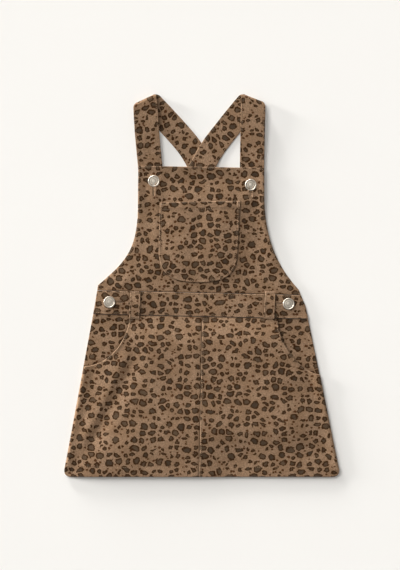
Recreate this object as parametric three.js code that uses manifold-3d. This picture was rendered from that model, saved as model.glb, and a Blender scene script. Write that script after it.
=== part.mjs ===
// A child's pinafore dress of printed cotton twill, laid flat on its back with the bib uppermost.
// Millimetres. +Y runs from the hem to the straps, +Z up from the surface that the dress lies on.
// Left and right are as seen from above. Each piece that is cut and sewn on is one closed solid.
import * as THREE from 'three';
import { mergeVertices } from 'three/addons/utils/BufferGeometryUtils.js';
import Module from 'manifold-3d';

const wasm = await Module();
wasm.setup();

// ---- Driving dimensions ----
const HEM_HALF_WIDTH = 199.5; // centre to the side seam at the hem
const CLOTH = 1.2; // wall of every cloth solid
const SEAM_GAP = 0.3; // between neighbouring solids
const LAYER = CLOTH + SEAM_GAP; // from one cloth layer to the next
const GRID = 12; // spacing of the points that every raised panel shares

const HEM_CORNER = 10; // radius of the two corners of the hem
const SIDE_TOP = { left: new THREE.Vector2(-156, 245), right: new THREE.Vector2(150.4, 248) };
const WAIST_SEAM = 232.7; // skirt to waistband, at the centre
const WAISTBAND_HEIGHT = 34.2;
const WAIST_TILT = -0.0225; // rise of both waist seams per millimetre along X
const WAIST_CORNER = { left: new THREE.Vector2(-150.5, 278), right: new THREE.Vector2(140.4, 272) };
const BIB_TOP = { left: new THREE.Vector2(-92, 451), right: new THREE.Vector2(90.6, 448) };
const ARMHOLE_TOP = { left: new THREE.Vector2(-92.6, 388), right: new THREE.Vector2(90.8, 398) };
const ARMHOLE_PULL = {
  left: [new THREE.Vector2(-113, 311), new THREE.Vector2(-94.5, 325)],
  right: [new THREE.Vector2(107.4, 308), new THREE.Vector2(93.5, 345)],
};
const CENTRE_SEAM = { top: 0.7, hem: -3.6 }; // X of the centre-front seam at its two ends

const POCKET = {
  // Corners of the mouth, where each side starts to curve in, and the lowest point with its pull points.
  mouth: { left: [-60.5, 397.8], right: [56, 400.4] },
  side: { left: [-62.4, 330], right: [51.8, 322] },
  lowest: [-5, 282],
  pull: { left: [[-62.6, 296], [-47, 282]], right: [[28, 282], [51.4, 290]] },
};
const OPENING = {
  // Scooped pocket opening: from the side seam to the waist seam, with the two pull points of its curve.
  left: [[-171, 160.5], [-140, 160.5], [-108, 190], [-103.5, 235]],
  right: [[171.6, 148], [146, 152], [113, 185], [109.5, 230.2]],
};
const FACING_TUCK = 12; // how far the hip panel runs on behind the opening's edge
const LOOP = { width: 15, bottom: 229.8, top: 269, left: -96.8, right: 98.6, lean: 0.02, arch: 1.2 };

const STRAP_WIDTH = 35.4;
const STRAP_ROLL = 4; // radius of the roll where a strap folds over at the shoulder
const STRAP_SETTLE = 85; // length over which the front part comes down from the fold
const HOP_RAMP = 18; // length over which one strap climbs over the other

const SKIRT_SWELL = 4.5; // height that the front of the skirt stands off its back
const BIB_SWELL = 1.8;
const SKIRT_FOLDS = [
  // Long soft hollows up the skirt: X at the hem, lean along Y, depth and half width.
  { foot: -200, lean: 0.51, depth: 2.8, width: 11 },
  { foot: 172, lean: -0.34, depth: 1, width: 13 },
];

const BUTTON_RADIUS = 8.5;
const SHANK_RADIUS = 2;
const BUTTONHOLE_SLIT = 1; // width of the slit beyond the shank
const BUTTONS = {
  bib_left: { at: [-69.5, 429], tail: [0, -21] },
  bib_right: { at: [71.2, 423.5], tail: [0, -19] },
  side_left: { at: [-133.8, 253.6], tail: [18, -0.4] },
  side_right: { at: [126, 251], tail: [-18, 0.4] },
};

// ---- Materials ----
function twill() {
  return new THREE.MeshStandardMaterial({ color: 0x8f7459, roughness: 0.9, metalness: 0 });
}

function nickel() {
  return new THREE.MeshStandardMaterial({ color: 0xb9b3aa, roughness: 0.35, metalness: 1 });
}

// ---- Solids ----
function soften(value, from, to) {
  return THREE.MathUtils.smoothstep(value, from, to);
}

function toManifold(geometry) {
  const bare = geometry.clone();
  bare.deleteAttribute('normal');
  bare.deleteAttribute('uv');
  const merged = mergeVertices(bare, 1e-4);
  const vertProperties = Float32Array.from(merged.attributes.position.array);
  const triVerts = Uint32Array.from(merged.index.array);
  return new wasm.Manifold(new wasm.Mesh({ numProp: 3, vertProperties, triVerts }));
}

function toGeometry(solid) {
  const mesh = solid.getMesh();
  const geometry = new THREE.BufferGeometry();
  geometry.setAttribute('position', new THREE.BufferAttribute(Float32Array.from(mesh.vertProperties), 3));
  geometry.setIndex(new THREE.BufferAttribute(Uint32Array.from(mesh.triVerts), 1));
  return geometry;
}

function named(name, geometry, material) {
  const mesh = new THREE.Mesh(geometry, material);
  mesh.name = name;
  return mesh;
}

function flatPiece(shape, low) {
  const geometry = new THREE.ExtrudeGeometry(shape, { depth: CLOTH, bevelEnabled: false, curveSegments: 12 });
  geometry.translate(0, 0, low);
  return toGeometry(toManifold(geometry));
}

// A wall between rows of lower and upper points; both grids have the same size.
function wallGeometry(lower, upper) {
  const rows = lower.length;
  const columns = lower[0].length;
  const positions = [...lower.flat(), ...upper.flat()].flatMap((p) => [p.x, p.y, p.z]);
  const low = (i, j) => i * columns + j;
  const high = (i, j) => rows * columns + low(i, j);
  const index = [];
  const quad = (a, b, c, d) => index.push(a, b, c, a, c, d);
  for (let i = 0; i < rows - 1; i++) {
    for (let j = 0; j < columns - 1; j++) {
      quad(high(i, j), high(i, j + 1), high(i + 1, j + 1), high(i + 1, j));
      quad(low(i, j), low(i + 1, j), low(i + 1, j + 1), low(i, j + 1));
    }
  }
  for (let i = 0; i < rows - 1; i++) {
    quad(low(i, 0), high(i, 0), high(i + 1, 0), low(i + 1, 0));
    quad(low(i, columns - 1), low(i + 1, columns - 1), high(i + 1, columns - 1), high(i, columns - 1));
  }
  for (let j = 0; j < columns - 1; j++) {
    quad(low(0, j), low(0, j + 1), high(0, j + 1), high(0, j));
    quad(low(rows - 1, j), high(rows - 1, j), high(rows - 1, j + 1), low(rows - 1, j + 1));
  }
  const geometry = new THREE.BufferGeometry();
  geometry.setAttribute('position', new THREE.Float32BufferAttribute(positions, 3));
  geometry.setIndex(index);
  return geometry;
}

// A raised panel: a wall over the shared grid, cut to the outline of the piece.
function raisedPiece(shape, bottom) {
  const outline = shape.getPoints(12);
  const box = new THREE.Box2().setFromPoints(outline);
  const firstX = Math.floor(box.min.x / GRID) - 0.5;
  const firstY = Math.floor(box.min.y / GRID) - 0.5;
  const columns = Math.ceil(box.max.x / GRID) - firstX + 0.5;
  const rows = Math.ceil(box.max.y / GRID) - firstY + 0.5;
  const lower = [];
  const upper = [];
  for (let i = 0; i <= rows; i++) {
    const y = (firstY + i) * GRID;
    const places = Array.from({ length: columns + 1 }, (_, j) => (firstX + j) * GRID);
    lower.push(places.map((x) => new THREE.Vector3(x, y, bottom(x, y))));
    upper.push(places.map((x) => new THREE.Vector3(x, y, bottom(x, y) + CLOTH)));
  }
  const cutter = new THREE.ExtrudeGeometry(shape, { depth: 60, bevelEnabled: false, curveSegments: 12 });
  cutter.translate(0, 0, -20);
  return toGeometry(toManifold(wallGeometry(lower, upper)).intersect(toManifold(cutter)));
}

// ---- Outline of the whole dress ----
function waistSeam(x) {
  return WAIST_SEAM + WAIST_TILT * x;
}

function bandTop(x) {
  return waistSeam(x) + WAISTBAND_HEIGHT;
}

function sideSign(side) {
  return side === 'left' ? -1 : 1;
}

// X of the side seam at height y, a straight line from the hem to the waist.
function sideSeam(side, y) {
  const hem = sideSign(side) * HEM_HALF_WIDTH;
  return hem + ((SIDE_TOP[side].x - hem) * (y - HEM_CORNER)) / (SIDE_TOP[side].y - HEM_CORNER);
}

function edgePath(side) {
  const [low, high] = ARMHOLE_PULL[side];
  const top = ARMHOLE_TOP[side];
  const path = new THREE.Path();
  path.moveTo(sideSeam(side, 0), 0);
  path.lineTo(SIDE_TOP[side].x, SIDE_TOP[side].y);
  path.lineTo(WAIST_CORNER[side].x, WAIST_CORNER[side].y);
  path.bezierCurveTo(low.x, low.y, high.x, high.y, top.x, top.y);
  path.lineTo(BIB_TOP[side].x, BIB_TOP[side].y);
  return path.getPoints(16);
}

const EDGE = { left: edgePath('left'), right: edgePath('right') };

// X of the outer edge of the front at height y.
function edgeAt(side, y) {
  const points = EDGE[side];
  const after = points.findIndex((p) => p.y >= y);
  if (after < 1) return after === 0 ? points[0].x : points.at(-1).x;
  const [a, b] = [points[after - 1], points[after]];
  return a.x + ((b.x - a.x) * (y - a.y)) / (b.y - a.y);
}

// Where the outer edge of the front meets one of the two waist seams.
function cornerAt(side, seam) {
  const x = edgeAt(side, seam(edgeAt(side, seam(0))));
  return new THREE.Vector2(x, seam(x));
}

// ---- Heights of the front ----
// How far the outer edge of the front comes down to what it lies on.
function edgeDrop(y) {
  const skirt = LAYER * (1 - soften(y, 118, 142));
  const waist = LAYER * soften(y, 232, 240) * (1 - soften(y, 272, 290));
  const armhole = (2 * LAYER - SEAM_GAP) * soften(y, 272, 290) * (1 - soften(y, 382, 398));
  return skirt + waist + armhole;
}

// The skirt stands a little off its back between the side seams, and sinks in two long soft folds.
function skirtLoft(x, y) {
  const across = Math.min(x - edgeAt('left', y), edgeAt('right', y) - x);
  // It comes down gently to the hem on the left and more steeply, to a flat hem, on the right.
  const rise = THREE.MathUtils.lerp(soften(y, -40, 60), soften(y, 12, 75), soften(x, -10, 60));
  const swell = SKIRT_SWELL * soften(across, 0, 60) * (1 - soften(y, 196, 232)) * rise;
  const along = soften(y, 5, 40) * (1 - soften(y, 184, 215));
  const sunk = SKIRT_FOLDS.reduce((sum, { depth, foot, lean, width }) => {
    const away = (x - foot - lean * y) / width;
    return sum + depth * Math.exp(-away * away);
  }, 0);
  return swell - Math.min(swell, sunk * along);
}

function bibLoft(x, y) {
  const swell = BIB_SWELL * soften(y, 275, 330) * (1 - soften(y, 400, 440));
  return swell * (1 - soften(Math.abs(x), 30, 85));
}

// Lower face of the bib, waistband and front skirt at one place, two layers above the surface.
function frontHeight(x, y) {
  const inside = Math.min(x - edgeAt('left', y), edgeAt('right', y) - x);
  const drop = edgeDrop(y) * (1 - soften(inside, 0, 20));
  return 2 * LAYER + skirtLoft(x, y) + bibLoft(x, y) - drop;
}

// ---- Front pieces ----
function buttonholes(names) {
  const reach = SHANK_RADIUS + SEAM_GAP;
  return names.map((name) => {
    const { at, tail } = BUTTONS[name];
    const way = Math.atan2(tail[1], tail[0]);
    const half = Math.asin(BUTTONHOLE_SLIT / 2 / reach);
    const hole = new THREE.Path();
    hole.absarc(at[0], at[1], reach, way + half, way + 2 * Math.PI - half, false);
    const across = new THREE.Vector2(-Math.sin(way), Math.cos(way)).multiplyScalar(BUTTONHOLE_SLIT / 2);
    hole.lineTo(at[0] + tail[0] - across.x, at[1] + tail[1] - across.y);
    hole.lineTo(at[0] + tail[0] + across.x, at[1] + tail[1] + across.y);
    hole.closePath();
    return hole;
  });
}

function frontBib() {
  const lift = SEAM_GAP / 2;
  const shape = new THREE.Shape();
  const left = cornerAt('left', bandTop);
  const right = cornerAt('right', bandTop);
  shape.moveTo(left.x, left.y + lift);
  shape.lineTo(right.x, right.y + lift);
  EDGE.right.filter((p) => p.y > right.y + 1).forEach((p) => shape.lineTo(p.x, p.y));
  EDGE.left.filter((p) => p.y > left.y + 1).reverse().forEach((p) => shape.lineTo(p.x, p.y));
  shape.closePath();
  shape.holes = buttonholes(['bib_left', 'bib_right']);
  return named('front_bib', raisedPiece(shape, frontHeight), twill());
}

// Outline of both waistbands; the hidden one is narrower by inset at each end.
function waistbandShape(inset) {
  const lift = SEAM_GAP / 2;
  const low = { left: cornerAt('left', waistSeam), right: cornerAt('right', waistSeam) };
  const high = { left: cornerAt('left', bandTop), right: cornerAt('right', bandTop) };
  const shape = new THREE.Shape();
  shape.moveTo(low.left.x + inset, low.left.y + lift);
  shape.lineTo(low.right.x - inset, low.right.y + lift);
  shape.lineTo(SIDE_TOP.right.x - inset, SIDE_TOP.right.y);
  shape.lineTo(high.right.x - inset, high.right.y - lift);
  shape.lineTo(high.left.x + inset, high.left.y - lift);
  shape.lineTo(SIDE_TOP.left.x + inset, SIDE_TOP.left.y);
  shape.closePath();
  return shape;
}

function frontWaistband() {
  const shape = waistbandShape(0);
  shape.holes = buttonholes(['side_left', 'side_right']);
  return named('front_waistband', raisedPiece(shape, frontHeight), twill());
}

function pocketShape() {
  const { mouth, side, lowest, pull } = POCKET;
  const shape = new THREE.Shape();
  shape.moveTo(...mouth.left);
  shape.lineTo(...side.left);
  shape.bezierCurveTo(...pull.left[0], ...pull.left[1], ...lowest);
  shape.bezierCurveTo(...pull.right[0], ...pull.right[1], ...side.right);
  shape.lineTo(...mouth.right);
  shape.closePath();
  return shape;
}

function bibPocket() {
  const bottom = (x, y) => frontHeight(x, y) + LAYER;
  return named('bib_pocket', raisedPiece(pocketShape(), bottom), twill());
}

function beltLoop(side) {
  const lean = LOOP.lean * (LOOP.top - LOOP.bottom);
  const centre = LOOP[side];
  const shape = new THREE.Shape();
  shape.moveTo(centre - LOOP.width / 2 - lean, LOOP.bottom);
  shape.lineTo(centre + LOOP.width / 2 - lean, LOOP.bottom);
  shape.lineTo(centre + LOOP.width / 2 + lean, LOOP.top);
  shape.lineTo(centre - LOOP.width / 2 + lean, LOOP.top);
  shape.closePath();
  const middle = (LOOP.bottom + LOOP.top) / 2;
  const arch = (y) => LOOP.arch * (1 - soften(Math.abs(y - middle), 6, 20));
  const bottom = (x, y) => frontHeight(x, y) + LAYER + arch(y);
  return named(`belt_loop_${side}`, raisedPiece(shape, bottom), twill());
}

// The rounded corner of the hem, run from the hem up to the side seam, or from the side seam to the hem.
function hemCornerTo(shape, side) {
  const x = sideSeam(side, HEM_CORNER);
  shape.lineTo(x - sideSign(side) * HEM_CORNER, 0);
  shape.quadraticCurveTo(x, 0, x, HEM_CORNER);
}

function hemCornerFrom(shape, side) {
  const x = sideSeam(side, HEM_CORNER);
  shape.quadraticCurveTo(x, 0, x - sideSign(side) * HEM_CORNER, 0);
}

function frontSkirt(side) {
  const turn = sideSign(side);
  const [start, low, high, end] = OPENING[side];
  const seam = (turn * SEAM_GAP) / 2;
  const shape = new THREE.Shape();
  shape.moveTo(CENTRE_SEAM.top + seam, waistSeam(0) - SEAM_GAP / 2);
  shape.lineTo(CENTRE_SEAM.hem + seam, 0);
  hemCornerTo(shape, side);
  shape.lineTo(start[0], start[1]);
  shape.bezierCurveTo(low[0], low[1], high[0], high[1], end[0], waistSeam(end[0]) - SEAM_GAP / 2);
  shape.closePath();
  return named(`front_skirt_${side}`, raisedPiece(shape, frontHeight), twill());
}

function pocketFacing(side) {
  const turn = sideSign(side);
  const [start, low, high, end] = OPENING[side];
  const seamY = (x) => waistSeam(x) - SEAM_GAP / 2;
  const tuck = FACING_TUCK;
  const foot = start[1] - tuck;
  const inner = end[0] - turn * tuck;
  const outer = cornerAt(side, waistSeam);
  const shape = new THREE.Shape();
  shape.moveTo(outer.x, seamY(outer.x));
  shape.lineTo(sideSeam(side, foot), foot);
  shape.bezierCurveTo(low[0], low[1] - tuck, high[0] - turn * tuck, high[1] - tuck / 2, inner, seamY(inner));
  shape.closePath();
  return named(`pocket_facing_${side}`, flatPiece(shape, LAYER), twill());
}

// ---- Back pieces ----
function backWaistband() {
  return named('back_waistband', flatPiece(waistbandShape(1), 0), twill());
}

function backSkirt() {
  const shape = new THREE.Shape();
  const left = cornerAt('left', waistSeam);
  const right = cornerAt('right', waistSeam);
  shape.moveTo(right.x, right.y - SEAM_GAP / 2);
  shape.lineTo(left.x, left.y - SEAM_GAP / 2);
  shape.lineTo(sideSeam('left', HEM_CORNER), HEM_CORNER);
  hemCornerFrom(shape, 'left');
  hemCornerTo(shape, 'right');
  shape.closePath();
  return named('back_skirt', flatPiece(shape, 0), twill());
}

// ---- Straps ----
// Centre lines seen from above: the front part from its hidden end up to the fold, then the back part down
// to the back waistband. The rounded edge of the fold passes through the point edge, at the angle slant.
const STRAPS = {
  left: {
    front: [[-70.4, 404], [-75.2, 455], [-79.5, 502]],
    back: [[-45, 510.4], [-18.8, 480], [-5.8, 459], [45, 365]],
    foot: 99,
    edge: [-82, 548.6],
    slant: THREE.MathUtils.degToRad(25.5),
  },
  right: {
    front: [[72, 402], [73, 455], [73.8, 502]],
    back: [[42, 511], [14, 474], [-1.5, 446], [-50, 357]],
    foot: -100,
    edge: [74.5, 549.6],
    slant: THREE.MathUtils.degToRad(-21.5),
  },
};
const QUARTER_ROLL = (Math.PI / 2) * STRAP_ROLL;

// The strap as one flat strip: its back part is mirrored about the line where the strip turns over.
function flatStrip({ front, back, foot, edge, slant }) {
  const along = new THREE.Vector3(Math.cos(slant), Math.sin(slant), 0);
  const out = new THREE.Vector3(-along.y, along.x, 0);
  const turn = new THREE.Vector3(...edge, 0).addScaledVector(out, QUARTER_ROLL - STRAP_ROLL - CLOTH / 2);
  const seat = [foot, bandTop(foot) + 0.7];
  const mirrored = [...back, seat].map(([x, y]) => {
    const p = new THREE.Vector3(x, y, 0);
    return p.addScaledVector(out, -2 * p.clone().sub(turn).dot(out));
  });
  const points = [...front.map(([x, y]) => new THREE.Vector3(x, y, 0)), turn, ...mirrored];
  const seatLine = new THREE.Vector3(0, 1, 0).addScaledVector(out, -2 * out.y);
  return { curve: new THREE.CatmullRomCurve3(points), turn, out, seatLine };
}

// Where a point of the flat strip lies once the strip is turned over. Heights are the middle of the cloth.
function turnedOver(point, { turn, out }, climb) {
  const reach = point.clone().sub(turn).dot(out);
  const base = CLOTH / 2;
  if (reach < -QUARTER_ROLL) {
    const down = soften(-QUARTER_ROLL - reach, 0, STRAP_SETTLE);
    const height = THREE.MathUtils.lerp(base + 2 * STRAP_ROLL, base + LAYER, down);
    return new THREE.Vector3(point.x, point.y, height);
  }
  if (reach > QUARTER_ROLL) {
    const under = point.clone().addScaledVector(out, -2 * reach);
    return under.setZ(base + climb(under));
  }
  const angle = (reach + QUARTER_ROLL) / STRAP_ROLL;
  const place = STRAP_ROLL * Math.sin(angle) - QUARTER_ROLL;
  const height = base + STRAP_ROLL * (1 + Math.cos(angle));
  return point.clone().addScaledVector(out, place - reach).setZ(height);
}

// Distances along the strip at which it has a row of points: close together around the roll.
function strapRows(length, fold) {
  const rows = new Set();
  const spread = (from, to, count) => {
    for (let i = 0; i <= count; i++) rows.add(THREE.MathUtils.lerp(from, to, i / count));
  };
  const roll = QUARTER_ROLL * 1.15;
  spread(0, fold - roll, 10);
  spread(fold - roll, fold + roll, 10);
  spread(fold + roll, length, 26);
  return [...rows].sort((a, b) => a - b);
}

// Shift of a row's outer points along the strip that makes the row parallel to a line with this normal.
function rowSkew(tangent, across, normal) {
  return -across.dot(normal) / tangent.dot(normal);
}

function strapSurface(strip, climb) {
  const length = strip.curve.getLength();
  const samples = Array.from({ length: 801 }, (_, i) => i / 800);
  const passed = (u) => strip.curve.getPointAt(u).sub(strip.turn).dot(strip.out) >= 0;
  const fold = samples.find(passed) * length;
  const at = (along, side) => {
    const u = THREE.MathUtils.clamp(along / length, 0, 1);
    const tangent = strip.curve.getTangentAt(u);
    const across = new THREE.Vector3(tangent.y, -tangent.x, 0);
    const half = (side * STRAP_WIDTH) / 2;
    const nearFold = 1 - soften(Math.abs(along - fold), 8, 34);
    const nearSeat = soften(along, length - 30, length);
    const skew =
      rowSkew(tangent, across, strip.out) * nearFold + rowSkew(tangent, across, strip.seatLine) * nearSeat;
    const flat = strip.curve.getPointAt(u).addScaledVector(across, half).addScaledVector(tangent, half * skew);
    return turnedOver(flat, strip, climb);
  };
  return { at, rows: strapRows(length, fold), length };
}

function strapGeometry(strip, climb) {
  const { at, rows, length } = strapSurface(strip, climb);
  const sides = [-1, -0.5, 0, 0.5, 1];
  const lower = [];
  const upper = [];
  const step = 0.05;
  for (const along of rows) {
    const low = [];
    const high = [];
    for (const side of sides) {
      const place = at(along, side);
      const before = at(Math.max(along - step, 0), side);
      const ahead = at(Math.min(along + step, length), side).sub(before);
      const aside = at(along, side + 0.01).sub(at(along, side - 0.01));
      const normal = aside.cross(ahead).normalize();
      low.push(place.clone().addScaledVector(normal, -CLOTH / 2));
      high.push(place.clone().addScaledVector(normal, CLOTH / 2));
    }
    lower.push(low);
    upper.push(high);
  }
  return wallGeometry(lower, upper);
}

// The right strap climbs over the left one where the two cross.
function climbOver(strip) {
  const { at, rows } = strapSurface(strip, () => 0);
  const route = rows.map((along) => at(along, 0)).filter((p) => p.z <= CLOTH / 2 + 1e-6);
  const line = new THREE.CatmullRomCurve3(route).getSpacedPoints(160).map((p) => new THREE.Vector2(p.x, p.y));
  const reach = STRAP_WIDTH / 2 + 2;
  return (point) => {
    const place = new THREE.Vector2(point.x, point.y);
    const away = Math.min(...line.map((p) => p.distanceTo(place)));
    return LAYER * (1 - soften(away, reach, reach + HOP_RAMP));
  };
}

function strap(side) {
  const strip = flatStrip(STRAPS[side]);
  const climb = side === 'right' ? climbOver(flatStrip(STRAPS.left)) : () => 0;
  return named(`strap_${side}`, strapGeometry(strip, climb), twill());
}

// ---- Buttons ----
// Turned metal cap with a raised rim and a shallow domed centre, on a shank through the buttonhole.
function button(place) {
  const [x, y] = BUTTONS[place].at;
  const rest = frontHeight(x, y) + LAYER;
  const below = place.startsWith('bib') ? LAYER + CLOTH : CLOTH;
  const shank = rest - below - SEAM_GAP;
  const r = BUTTON_RADIUS;
  const profile = [
    [0, -shank],
    [SHANK_RADIUS, -shank],
    [SHANK_RADIUS, 0],
    [r - 0.7, 0],
    [r, 0.7],
    [r, 1.6],
    [r - 0.7, 2.3],
    [r - 1.6, 2.3],
    [r - 2.2, 1.7],
    [r * 0.35, 1.9],
    [0, 2.1],
  ].map(([radius, height]) => new THREE.Vector2(radius, height));
  const turned = new THREE.LatheGeometry(profile, 24).rotateX(Math.PI / 2);
  const mesh = named(`button_${place}`, toGeometry(toManifold(turned)), nickel());
  mesh.position.set(x, y, rest);
  return mesh;
}

// ---- The dress ----
const dress = new THREE.Group();
for (const side of ['left', 'right']) {
  dress.add(frontSkirt(side), pocketFacing(side), beltLoop(side), strap(side));
}
for (const place of Object.keys(BUTTONS)) {
  dress.add(button(place));
}
dress.add(frontBib(), bibPocket(), frontWaistband(), backWaistband(), backSkirt());
// The origin is under the middle of the dress, on the surface that it lies on.
const middle = new THREE.Box3().setFromObject(dress).getCenter(new THREE.Vector3());
dress.position.set(-middle.x, -middle.y, 0);

const part = new THREE.Group();
part.add(dress);

export default part;
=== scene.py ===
"""Cloth, print, topstitching and buttons of a pinafore dress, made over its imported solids.

The dress lies flat on its back. Each sewn piece is a closed skin of printed twill whose outline and lie
come from the solid that it stands for. Lengths are metres, and MM turns millimetres into them.
"""

import math

import bpy
import numpy as np
from bpy.props import FloatProperty, FloatVectorProperty, IntProperty, PointerProperty
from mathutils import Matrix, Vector, geometry
from mathutils.bvhtree import BVHTree
from mathutils.kdtree import KDTree


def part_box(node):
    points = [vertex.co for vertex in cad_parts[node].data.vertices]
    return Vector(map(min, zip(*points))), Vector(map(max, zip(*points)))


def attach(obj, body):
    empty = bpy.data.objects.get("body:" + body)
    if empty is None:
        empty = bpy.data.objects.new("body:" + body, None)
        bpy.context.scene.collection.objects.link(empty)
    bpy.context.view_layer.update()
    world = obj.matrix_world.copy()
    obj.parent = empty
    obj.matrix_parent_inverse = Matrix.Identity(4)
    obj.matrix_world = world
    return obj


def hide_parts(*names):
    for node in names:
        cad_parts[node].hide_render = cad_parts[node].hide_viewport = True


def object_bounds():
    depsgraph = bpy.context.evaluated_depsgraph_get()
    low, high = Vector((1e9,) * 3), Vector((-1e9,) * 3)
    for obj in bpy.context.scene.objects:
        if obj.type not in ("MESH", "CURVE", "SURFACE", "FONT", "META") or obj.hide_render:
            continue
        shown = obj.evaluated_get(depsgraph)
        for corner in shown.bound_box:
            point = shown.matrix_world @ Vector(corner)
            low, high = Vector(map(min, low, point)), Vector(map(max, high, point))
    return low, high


bl_info = {
    "name": "Pinafore Dress",
    "version": (1, 0, 0),
    "blender": (4, 5, 0),
    "location": "View3D > Sidebar > Dress",
    "description": "Makes the cloth, topstitching and buttons of a pinafore dress that is laid flat",
    "category": "Object",
}

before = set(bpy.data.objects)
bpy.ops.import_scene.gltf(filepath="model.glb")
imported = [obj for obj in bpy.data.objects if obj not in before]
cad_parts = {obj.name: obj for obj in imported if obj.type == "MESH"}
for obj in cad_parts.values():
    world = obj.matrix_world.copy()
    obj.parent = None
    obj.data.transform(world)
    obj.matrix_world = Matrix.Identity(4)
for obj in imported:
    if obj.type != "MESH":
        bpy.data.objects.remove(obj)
CAD_LOW, CAD_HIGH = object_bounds()
MM = 0.001


# ---- Sizes and colours that a user would change ----
def length(name, description, default, low=0.0, high=1.0):
    """A length in metres."""
    return amount(name, description, default, low, high, unit="LENGTH", precision=5)


def amount(name, description, default, low=0.0, high=1000.0, **kind):
    return FloatProperty(name=name, description=description, default=default, min=low, max=high, **kind)


def colour(name, description, default):
    """A colour, given as the linear values that Blender stores."""
    return FloatVectorProperty(
        name=name, description=description, default=default, min=0.0, max=1.0, size=3, subtype="COLOR"
    )


class DressSewing(bpy.types.PropertyGroup):
    """Sizes of the cloth, its seams and its thread."""

    cloth: length("Cloth", "Thickness of one layer of twill as built", 1.1 * MM)
    strap_cloth: length("Strap cloth", "Thickness of the doubled cloth of a strap", 1.4 * MM)
    fineness: length("Fineness", "Distance between the points of a cloth panel", 2.3 * MM)
    edge_row: length("Edge row", "Distance of the topstitching from a turned edge", 2.2 * MM)
    hem_row: length("Hem row", "Distance of the hem's stitching from the hem", 14.5 * MM)
    pocket_row: length("Pocket hem row", "Distance of the stitching from the pocket's mouth", 10.5 * MM)
    stitch: length("Stitch", "Length of one stitch from hole to hole", 2.9 * MM)
    thread: length("Thread", "Thickness of the sewing thread", 0.55 * MM)
    pucker: length("Pucker", "Height of the small waves along a stitched row", 0.22 * MM)
    lie: length("Lie", "Height of the broad soft waves of the cloth", 0.5 * MM)
    strap_width: length("Strap width", "Width of a finished strap", 35.4 * MM)
    seed: IntProperty(name="Seed", description="Seed of every uneven shape", default=7)


class DressPrint(bpy.types.PropertyGroup):
    """The animal-spot print and the colours of cloth and thread."""

    spacing: length("Spot spacing", "Mean distance between two spots", 11.9 * MM)
    dot_spacing: length("Dot spacing", "Mean distance between two small dots", 8.0 * MM)
    ground: colour("Ground", "Colour of the plain ground", (0.312, 0.202, 0.127))
    ground_shade: colour("Ground shade", "Darker tone of the ground", (0.268, 0.166, 0.098))
    rim: colour("Rim", "Dark rim of a spot", (0.034, 0.0122, 0.0021))
    heart: colour("Heart", "Paler middle of a spot", (0.050, 0.0335, 0.0208))
    dot: colour("Dot", "Small dots between the spots", (0.060, 0.020, 0.005))
    thread: colour("Thread", "Topstitching thread", (0.33, 0.21, 0.125))
    inside: colour("Inside", "Unprinted wrong side of the cloth", (0.40, 0.28, 0.185))


class DressMetal(bpy.types.PropertyGroup):
    """The metal of the buttons."""

    nickel: colour("Nickel", "Colour of the pale satin nickel", (0.585, 0.53, 0.455))
    roughness: amount("Roughness", "Roughness of the metal", 0.45, high=1.0, subtype="FACTOR")


class DressStage(bpy.types.PropertyGroup):
    """Floor, lights and camera."""

    floor: colour("Floor", "Colour of the floor", (0.880, 0.871, 0.857))
    view_width: length("View width", "Width that the camera shows", 0.58)
    lens: amount("Lens", "Focal length in millimetres", 110.0, 20.0, 300.0)
    key: amount("Key light", "Strength of the soft key light", 1.95)
    low: amount("Low lights", "Strength of the lights that rake the cloth", 4.1)
    top: amount("Top light", "Power of the soft light above, in watts", 12.0)
    fill: amount("Fill", "Strength of the light from the ceiling", 0.2)
    walls: amount("Walls", "Brightness of the pale walls", 0.9)


def settings():
    """The scene, which holds the groups of settings."""
    return bpy.context.scene


def placed(name, data):
    """A new object in the scene, at the origin."""
    thing = bpy.data.objects.new(name, data)
    bpy.context.scene.collection.objects.link(thing)
    return thing


# ---- Smooth uneven shapes ----
def smooth(value, low, high):
    """0 below low, 1 above high, and a soft S between them."""
    part = np.clip((value - low) / (high - low), 0.0, 1.0)
    return part * part * (3.0 - 2.0 * part)


def bell(value, width):
    """1 at 0, fading away over a width on both sides."""
    return np.exp(-((value / width) ** 2))


def waves(x, y, size, seed):
    """Soft noise from -1 to 1 whose bumps are about size apart."""
    table = np.random.default_rng(seed).uniform(-1.0, 1.0, (64, 64))
    u, v = np.asarray(x) / size + 31.7, np.asarray(y) / size + 17.3
    i, j = np.floor(u).astype(int), np.floor(v).astype(int)
    fu, fv = u - i, v - j
    fu, fv = smooth(fu, 0, 1), smooth(fv, 0, 1)
    a, b = table[i % 64, j % 64], table[(i + 1) % 64, j % 64]
    c, d = table[i % 64, (j + 1) % 64], table[(i + 1) % 64, (j + 1) % 64]
    return (a * (1 - fu) + b * fu) * (1 - fv) + (c * (1 - fu) + d * fu) * fv


# ---- Outlines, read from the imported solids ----
SAME_POINT = 1e-6  # points nearer than this are one
UPWARD = 0.35  # least upward part of the normal of an upper face


def skin_of(node):
    """The upper faces of a solid: its corner points and triangles, with shared points merged."""
    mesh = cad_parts[node].data
    mesh.calc_loop_triangles()
    points = np.empty(len(mesh.vertices) * 3)
    mesh.vertices.foreach_get("co", points)
    points = points.reshape(-1, 3)
    corners = np.empty(len(mesh.loop_triangles) * 3, int)
    mesh.loop_triangles.foreach_get("vertices", corners)
    _, first, merged = np.unique(np.round(points / SAME_POINT).astype(np.int64), axis=0, return_index=True,
                                 return_inverse=True)
    points = points[first]
    triangles = merged.reshape(-1)[corners].reshape(-1, 3)
    a, b, c = (points[triangles[:, k]] for k in range(3))
    normal = np.cross(b - a, c - a)
    area = np.linalg.norm(normal, axis=1)
    return points, triangles[normal[:, 2] > UPWARD * np.maximum(area, 1e-15)]


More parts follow.
